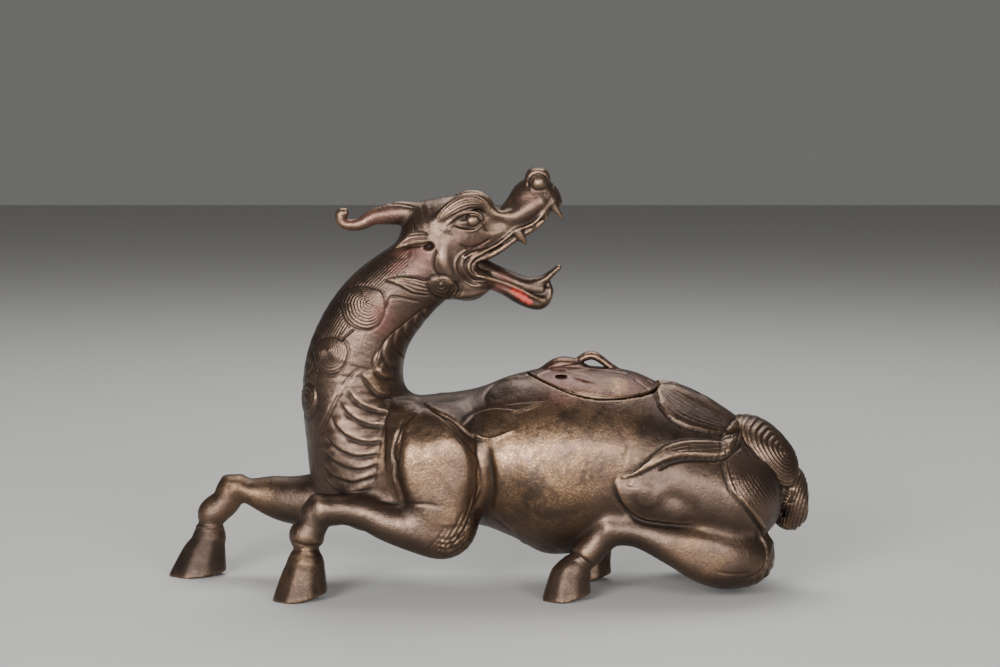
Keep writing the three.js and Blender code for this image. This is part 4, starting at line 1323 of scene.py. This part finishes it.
LOWER_EYELID = [
    (454, 227, 11.9, 0.6, 0.4), (464, 230.5, 11.9, 0.7, 0.5), (474, 230.5, 11.5, 0.7, 0.5),
    (481.5, 225, 10.6, 0.6, 0.4),
]
EAR = [
    (396, 248, 13.6, 0.5, 0.5), (402, 244.5, 13.4, 1.0, 1.5), (411, 240.5, 12.8, 1.5, 2.6),
    (422, 239.5, 11.8, 1.8, 2.7), (432, 238, 10.8, 1.6, 2.0), (437, 236, 10.2, 1.0, 1.0),
]
CHEEK_ROLL = [
    (447, 238, 10.8, 2.0, 2.0), (443.5, 248, 11.6, 2.4, 2.2), (443.5, 259, 12.2, 2.6, 2.4),
    (446, 269, 11.8, 2.4, 2.2), (451, 279, 10.4, 1.8, 1.6),
]
MUZZLE_ROLL = [
    (488, 211, 8.2, 1.4, 1.4), (499, 215, 8.0, 1.6, 1.7), (514, 216, 7.4, 1.7, 2.0),
    (527, 210, 7.2, 1.6, 2.0), (540, 202, 6.6, 1.4, 1.6),
]
UPPER_LIP = [
    (464, 257, 11.2, 0.8, 0.5), (475, 254.5, 10.6, 0.9, 0.6), (487, 250, 9.7, 0.9, 0.6),
    (499, 243.5, 8.7, 0.9, 0.6), (509, 236, 8.1, 0.9, 0.6), (516, 230, 7.9, 0.9, 0.6),
    (525, 227.5, 7.7, 0.8, 0.6), (534, 223, 7.4, 0.8, 0.6), (542, 215, 6.9, 0.8, 0.6),
    (548, 207, 6.2, 0.8, 0.6), (554, 200.5, 5.2, 0.7, 0.6),
]
GUM = [
    (478, 259, 8.6, 1.6, 1.4), (490, 255, 7.8, 1.6, 1.4), (501, 249, 7.2, 1.5, 1.3),
    (511, 242, 6.8, 1.4, 1.2), (521, 235, 6.4, 1.4, 1.2), (533, 229, 6.0, 1.3, 1.1),
    (543, 221, 5.4, 1.2, 1.0),
]
LOWER_LIP = [
    (480, 275, 9.6, 1.0, 0.8), (490, 278.5, 8.8, 1.0, 0.9), (505.6, 283.5, 7.4, 1.0, 0.9),
    (521.7, 290.5, 6.4, 1.0, 0.9), (533, 296.5, 5.4, 1.0, 0.9), (543, 300, 3.6, 1.0, 0.9),
]
CHIN = [
    (540, 303, 0, 4.2, 1.6), (546, 300, 0, 4.0, 1.7), (550, 293, 0, 3.6, 1.3), (549.5, 286, 0, 3.0, 1.0),
    (547, 281, 0, 2.2, 0.8),
]
MOUTH_FLOOR = [
    (478, 266, 0, 7.6, 4.2), (486, 270, 0, 6.6, 3.8), (505, 277, 0, 5.6, 2.8), (526, 286, 0, 4.8, 3.2),
    (541, 289.5, 0, 4.2, 3.9),
]
FRONT_FANG = [
    (551, 203, 4.8, 1.8, 2.1), (555.5, 209, 4.6, 1.35, 1.5), (559.5, 214.5, 4.4, 0.85, 0.9),
    (562, 219, 4.2, 0.4, 0.4),
]
TEETH = [
    FRONT_FANG,
    [(545, 213, 6.0, 1.0, 1.1), (547.5, 220, 5.8, 0.4, 0.4)],
    [(517, 231, 7.2, 1.8, 2.3), (521, 237, 7.0, 1.5, 1.8), (525.5, 243, 6.6, 0.7, 0.7)],
    [(532, 225, 7.0, 1.0, 1.2), (534.5, 229, 6.8, 0.5, 0.5)],
]
TOOTH_STEPS = 4
TOOTH_POINT = 0.9
# Balls of the head in millimetres: along it, out from its middle and up, then three radii
JOWL = ((-12, 7.5, 130), (10.5, 6, 11))
JOWL_PITCH = -0.25
NOSE_WING = ((24.4, 4.0, 160.0), (4.9, 4.2, 4.9))
# Balls of the face: pixels across and down, how far out, then three radii in millimetres
CHEEK_BALL = (454, 240, 10.0, (3.8, 2.4, 3.4))
NOSTRIL_BALL = (538.5, 182.5, 6.0, (3.3, 3.0, 3.3))
EYEBALL = (472.5, 220.3, 10.2, (3.1, 2.6, 2.9))
EYE_CORNER = (461.5, 223, 10.7, (3.0, 1.3, 1.5))
SOCKETS = [
    (470, 221, 13.0, (4.9, 2.0, 3.6)), (459, 223, 13.2, (3.2, 1.3, 2.0)),
    (496, 226, 11.4, (4.6, 2.6, 3.6)), (428, 246, 13.2, (2.0, 2.2, 1.4)),
]


def faced(rows, side=-1):
    """Stations for a part of the face, on its near or its far side."""
    return placed(rows, side, HEAD_Y)


def head_ball(spot, side, pitch=0.0):
    """Ball of the head, on its near or its far side."""
    (x, out, z), radii = spot
    return ball((x, HEAD_Y + side * out, z), radii, pitch)


def face_ball(spot, side):
    """Ball of the face, on its near or its far side."""
    across, down, out, radii = spot
    x, y, z = behind(across, down, HEAD_Y - out)
    return ball((x, HEAD_Y + side * out, z), radii)


def head_side(side):
    """Forms of one side of the face, and how far each blends in."""
    return [
        (head_ball(JOWL, side, JOWL_PITCH), 4),
        (face_ball(CHEEK_BALL, side), 3.0),
        (head_ball(NOSE_WING, side), 1.6),
        (face_ball(NOSTRIL_BALL, side), 0.3),
        (Limb(faced(MOUTH_CORNER, side)).form(), 2.2),
        (Limb(faced(BEARD_FLAP, side)).form(), 1.2),
        (Limb(faced(BROW, side)).form(), 1.2),
        (Limb(faced(CHEEK_ROLL, side)).form(), 2.6),
        (Limb(faced(MUZZLE_ROLL, side)).form(), 3.0),
        (Limb(faced(UPPER_LIP, side)).form(), 1.6),
        (Limb(faced(LOWER_LIP, side)).form(), 1.4),
        (Limb(faced(GUM, side)).form(), 1.0),
    ]


def head_details(side):
    """What is set on after the sockets are cut: eyes, eyelids, ears and teeth."""
    return [
        (face_ball(EYEBALL, side), 0.2),
        (face_ball(EYE_CORNER, side), 0.5),
        (Limb(faced(UPPER_EYELID, side)).form(), 0.5),
        (Limb(faced(LOWER_EYELID, side)).form(), 0.5),
        (Limb(faced(EAR, side)).form(), 0.5),
        *[(Limb(faced(tooth, side), TOOTH_STEPS).form(dome=TOOTH_POINT), 0.4) for tooth in TEETH],
    ]


HEAD_FORMS = [
    (Limb(SKULL).form(), 5),
    (Limb(JAW).form(), 3),
    (Limb(TONGUE).form(), 1.0),
    (Limb(faced(HORN)).form(), 2.5),
    (Limb(faced(CHIN)).form(), 1.2),
    (Limb(faced(MOUTH_FLOOR)).form(), 1.0),
    *head_side(-1),
    *head_side(1),
]

head_clay = Clay(*HEAD_BLOCK, HEAD_CELL)
for form, blend in [BODY_FORMS[1], *HEAD_FORMS]:
    head_clay.add(form, blend)
for side in (-1, 1):
    for spot in SOCKETS:
        head_clay.cut(face_ball(spot, side), 1.0)
for form, blend in head_details(-1) + head_details(1):
    head_clay.add(form, blend)
head_ends = [other_way(HEAD_FOOT)]
head = cast("head", head_clay, near_neck, [chase_head], HEAD_TRIANGLES, figure_bronze, head_ends)
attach(head, "root")
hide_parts("qilin")


# Tail: bronze, cast in one with the body and swept down over the rump. Rolls of hair are wound
# on both its sides, with a bead caught in the lower curl.
TAIL_CELL = 0.4
TAIL_TRIANGLES = 150000
TAIL_BLOCK = ((84, -26, 18), (134, 26, 72))
TAIL_ROOT = ball((106.5, 0, 46), (17, 18, 17.8), 0.25)
TAIL_WALL = WALL - 2
TAIL = [
    (101, 0, 60, 12, 8), (107, 0, 57.4, 14, 8.6), (112, 0, 52.6, 15, 9), (117, 0, 45.5, 14.5, 9),
    (122, 0, 38.5, 11.5, 7.9), (124.2, 0, 31.8, 9.5, 7.1), (121, 0, 26, 6.8, 4.8),
]
LOWER_LOCK = ([(756, 464), (768, 480), (780, 492), (790, 497)], [5, 9, 9, 5])
HIND_TAIL_LOCK = (
    [(799, 452), (804, 468), (801, 490), (796, 509), (790, 528)],
    [3, 7, 12, 14, 11],
)
TAIL_WHORL = [
    (737, 420), (736.5, 428), (740, 439), (746.5, 451), (757, 466), (771, 480), (785, 487.5),
    (793, 484.5), (797.5, 471), (796.5, 455), (789, 442), (777, 429), (763, 415), (748, 408),
]
TAIL_WHORL_EYE = (784, 455.5)
TAIL_BEAD = [(779, 498.5), (782, 501.5)]
BEAD_HOLLOW = [(781, 511), (783, 514)]


def chase_tail(sheet):
    """Rolls of hair wound on the side of the tail, the bead below and the strands behind."""
    sheet.lock(*LOWER_LOCK, height=0.9, hairs=4, depth=0.42)
    sheet.lock(*HIND_TAIL_LOCK, height=1.0, hairs=8, depth=0.42)
    sheet.whorl(TAIL_WHORL, TAIL_WHORL_EYE, 10, height=0.4, dome=2.0, turn=-1)
    sheet.groove(TAIL_BEAD, width=6.0, depth=-1.9, ends=0.0)
    sheet.groove(BEAD_HOLLOW, width=3.0, depth=1.4, ends=0.0)


tail_clay = Clay(*TAIL_BLOCK, TAIL_CELL)
tail_clay.add(TAIL_ROOT, 0)
tail_clay.add(Limb(TAIL).form(), 3)
tail_clay.cut(barrel(*HOLLOW, -TAIL_WALL))
tail = cast("tail", tail_clay, [chase_tail], [chase_tail], TAIL_TRIANGLES, figure_bronze)
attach(tail, "root")
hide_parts("qilin")


# Lid: a leaf of bronze cast apart, that carries on the curve of the back. It rests on the ledge,
# a collar under it keeps it from sliding, and a stem bent into a loop lifts it off.
LID_CELL = 0.4
LID_TRIANGLES = 150000
LID_BROWN = (0.125, 0.068, 0.051)
LID_UMBER = (0.070, 0.039, 0.030)
LID_BLOCK = ((18, -28, 60), (76, 28, 98))
LID_ROOM = 28.0
LID_HEIGHTS = (58.0, 92.0)
LID_RISE = 0.05
LID_CREST = 1.5
CREST_AT = (65, 2)
CREST_REACH = (9, 14)
EDGE_SLANT = 0.35
SLANT_FROM = 0.3
REST_GAP = 0.3
COLLAR_DEPTH = 3.5
COLLAR_WALL = 2.0


def lid_plate():
    """The leaf with its slanted edge, and the collar under it."""
    low = np.array([LID_CENTRE_X - LID_ROOM, -LID_ROOM, LID_HEIGHTS[0]])
    high = np.array([LID_CENTRE_X + LID_ROOM, LID_ROOM, LID_HEIGHTS[1]])
    outline = leaf(-SEAT_EASE)
    outer = leaf(-LEDGE_WIDTH - LID_CLEARANCE)
    inner = leaf(-LEDGE_WIDTH - LID_CLEARANCE - COLLAR_WALL)

    def depth(x, y, z):
        swell = np.exp(-((x - CREST_AT[0]) / CREST_REACH[0]) ** 2)
        swell = swell * np.exp(-((y - CREST_AT[1]) / CREST_REACH[1]) ** 2)
        top = z - above_trunk(x, y, -LID_RISE - LID_CREST * swell)
        bottom = above_trunk(x, y, SEAT_DEPTH - REST_GAP) - z
        undercut = EDGE_SLANT * np.clip(-top - SLANT_FROM, 0, 3)
        plate = np.maximum(np.maximum(top, bottom), outline(x, y) + undercut)
        foot = above_trunk(x, y, SEAT_DEPTH + COLLAR_DEPTH) - z
        ring = np.maximum(np.maximum(outer(x, y), -inner(x, y)), np.maximum(top, foot))
        return np.minimum(plate, ring)

    return low, high, depth


# Loop handle, the hump in front of it and the ledge under it, in rows as the muscles are
LOOP = [
    (575, 362, 1, 2.6, 1.1), (580, 359.2, 1, 2.6, 1.4), (586, 356.4, 1, 2.6, 1.7),
    (591.5, 355.2, 1, 2.6, 1.7), (597, 357, 1, 2.6, 1.6), (603, 361, 1, 2.6, 1.5),
    (609, 365.5, 1, 2.6, 1.4), (617, 370.5, 1, 2.6, 1.3), (625, 374, 1, 2.4, 1.0),
]
HUMP = [
    (541, 371, 2, 2.2, 1.2), (551, 366.5, 2, 3.6, 2.2), (560, 363.2, 2, 4.4, 2.5),
    (569, 363, 2, 4.2, 2.4), (578, 365.5, 2, 3.4, 2.2), (587, 369, 2, 2.4, 1.4),
]
HANDLE_LEDGE = [
    (553, 371, 6, 1.2, 0.8), (564, 368.5, 6, 1.5, 1.0), (576, 368.5, 6, 1.5, 1.0),
    (592, 370, 5, 1.3, 0.9), (610, 372, 5, 1.2, 0.8), (626, 374, 5, 1.0, 0.6),
]
HOLE_AT = (561, 378)
HOLE_Y = -17.5
HOLE_RADII = (2.5, 9, 0.8)
STALK_LINE = [(534, 377), (542, 373), (553, 370), (569, 370)]
NEAR_RIM_LINE = [(538, 380), (546, 386), (560, 391.5), (581, 394.5), (607, 397)]
NEAR_VEIN = [(568, 375.5), (577, 378), (587, 381), (599, 384)]
NEAR_VEIN_UNDER = [(570, 378.5), (580, 381.5), (592, 385)]
STALK_VEIN = [(552, 373.5), (560, 371.5), (571, 372.5), (590, 377)]
REAR_LINE = [(634, 379), (641, 384), (649, 390)]
REAR_LINE_ABOVE = [(646, 378), (652, 383), (657, 385)]


def chase_lid(sheet):
    """Veins of the leaf, its raised rim and the facets at its stalk."""
    sheet.groove(STALK_LINE, width=1.1, depth=-0.4)
    sheet.groove(NEAR_RIM_LINE, width=1.4, depth=-0.25)
    sheet.groove(NEAR_VEIN, width=0.9, depth=-0.35, ends=0.35)
    sheet.groove(NEAR_VEIN_UNDER, width=1.0, depth=0.25, ends=0.3)
    sheet.groove(STALK_VEIN, width=1.0, depth=0.3, ends=0.3)
    sheet.groove(REAR_LINE, width=1.0, depth=0.4)
    sheet.groove(REAR_LINE_ABOVE, width=1.0, depth=0.3)


lid_bronze = bronze("lid_bronze", LID_BROWN, LID_UMBER)

lid_clay = Clay(*LID_BLOCK, LID_CELL)
lid_clay.add(lid_plate(), 0)
for rows, blend in ((HUMP, 1.6), (HANDLE_LEDGE, 1.0), (LOOP, 0.6)):
    lid_clay.add(Limb(placed(rows)).form(), blend)
hole_x, hole_z = behind(*HOLE_AT, HOLE_Y)[[0, 2]]
lid_clay.cut(ball((hole_x, HOLE_Y, hole_z), HOLE_RADII), 0.3)
lid = cast("lid", lid_clay, [chase_lid], [], LID_TRIANGLES, lid_bronze)
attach(lid, "root")
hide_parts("lid")


# Stage: a plain pale floor under the figure, and four soft lights, the key low in front to the
# left as in the photograph.
FLOOR_SIZE = 6.0
FLOOR_COLOUR = (0.52, 0.515, 0.5)
FLOOR_ROUGHNESS = 0.9
SKY_COLOUR = (0.8, 0.79, 0.77)
SKY_STRENGTH = 0.19
# Lights: place in metres, size in metres and power in watts, all turned to one point
LIT_POINT = (0, 0, 70)
LIGHTS = {
    "key": ((-0.5, -1.3, 0.4), 0.5, 25.0),
    "side": ((0.6, -1.2, 0.45), 0.45, 9.0),
    "front": ((0.12, -1.5, 0.42), 0.75, 8.0),
    "top": ((0.1, 0.5, 1.1), 0.8, 11.0),
}

floor = bpy.data.meshes.new("floor")
half = FLOOR_SIZE / 2
corners = [(-half, -half, 0), (half, -half, 0), (half, half, 0), (-half, half, 0)]
floor.from_pydata(corners, [], [(0, 1, 2, 3)])
paper = bpy.data.materials.new("paper")
paper.use_nodes = True
paper.node_tree.nodes["Principled BSDF"].inputs["Base Color"].default_value = (*FLOOR_COLOUR, 1)
paper.node_tree.nodes["Principled BSDF"].inputs["Roughness"].default_value = FLOOR_ROUGHNESS
floor.materials.append(paper)
ground = bpy.data.objects.new("floor", floor)
bpy.context.scene.collection.objects.link(ground)

for name, (place, size, power) in LIGHTS.items():
    light = bpy.data.lights.new(name, "AREA")
    light.size = size
    light.energy = power
    lamp = bpy.data.objects.new(name, light)
    lamp.location = place
    toward = in_frame(LIT_POINT) - np.array(place)
    lamp.rotation_euler = Vector(toward).to_track_quat("-Z", "Y").to_euler()
    bpy.context.scene.collection.objects.link(lamp)

world = bpy.data.worlds.new("studio")
world.use_nodes = True
world.node_tree.nodes["Background"].inputs["Color"].default_value = (*SKY_COLOUR, 1)
world.node_tree.nodes["Background"].inputs["Strength"].default_value = SKY_STRENGTH
bpy.context.scene.world = world
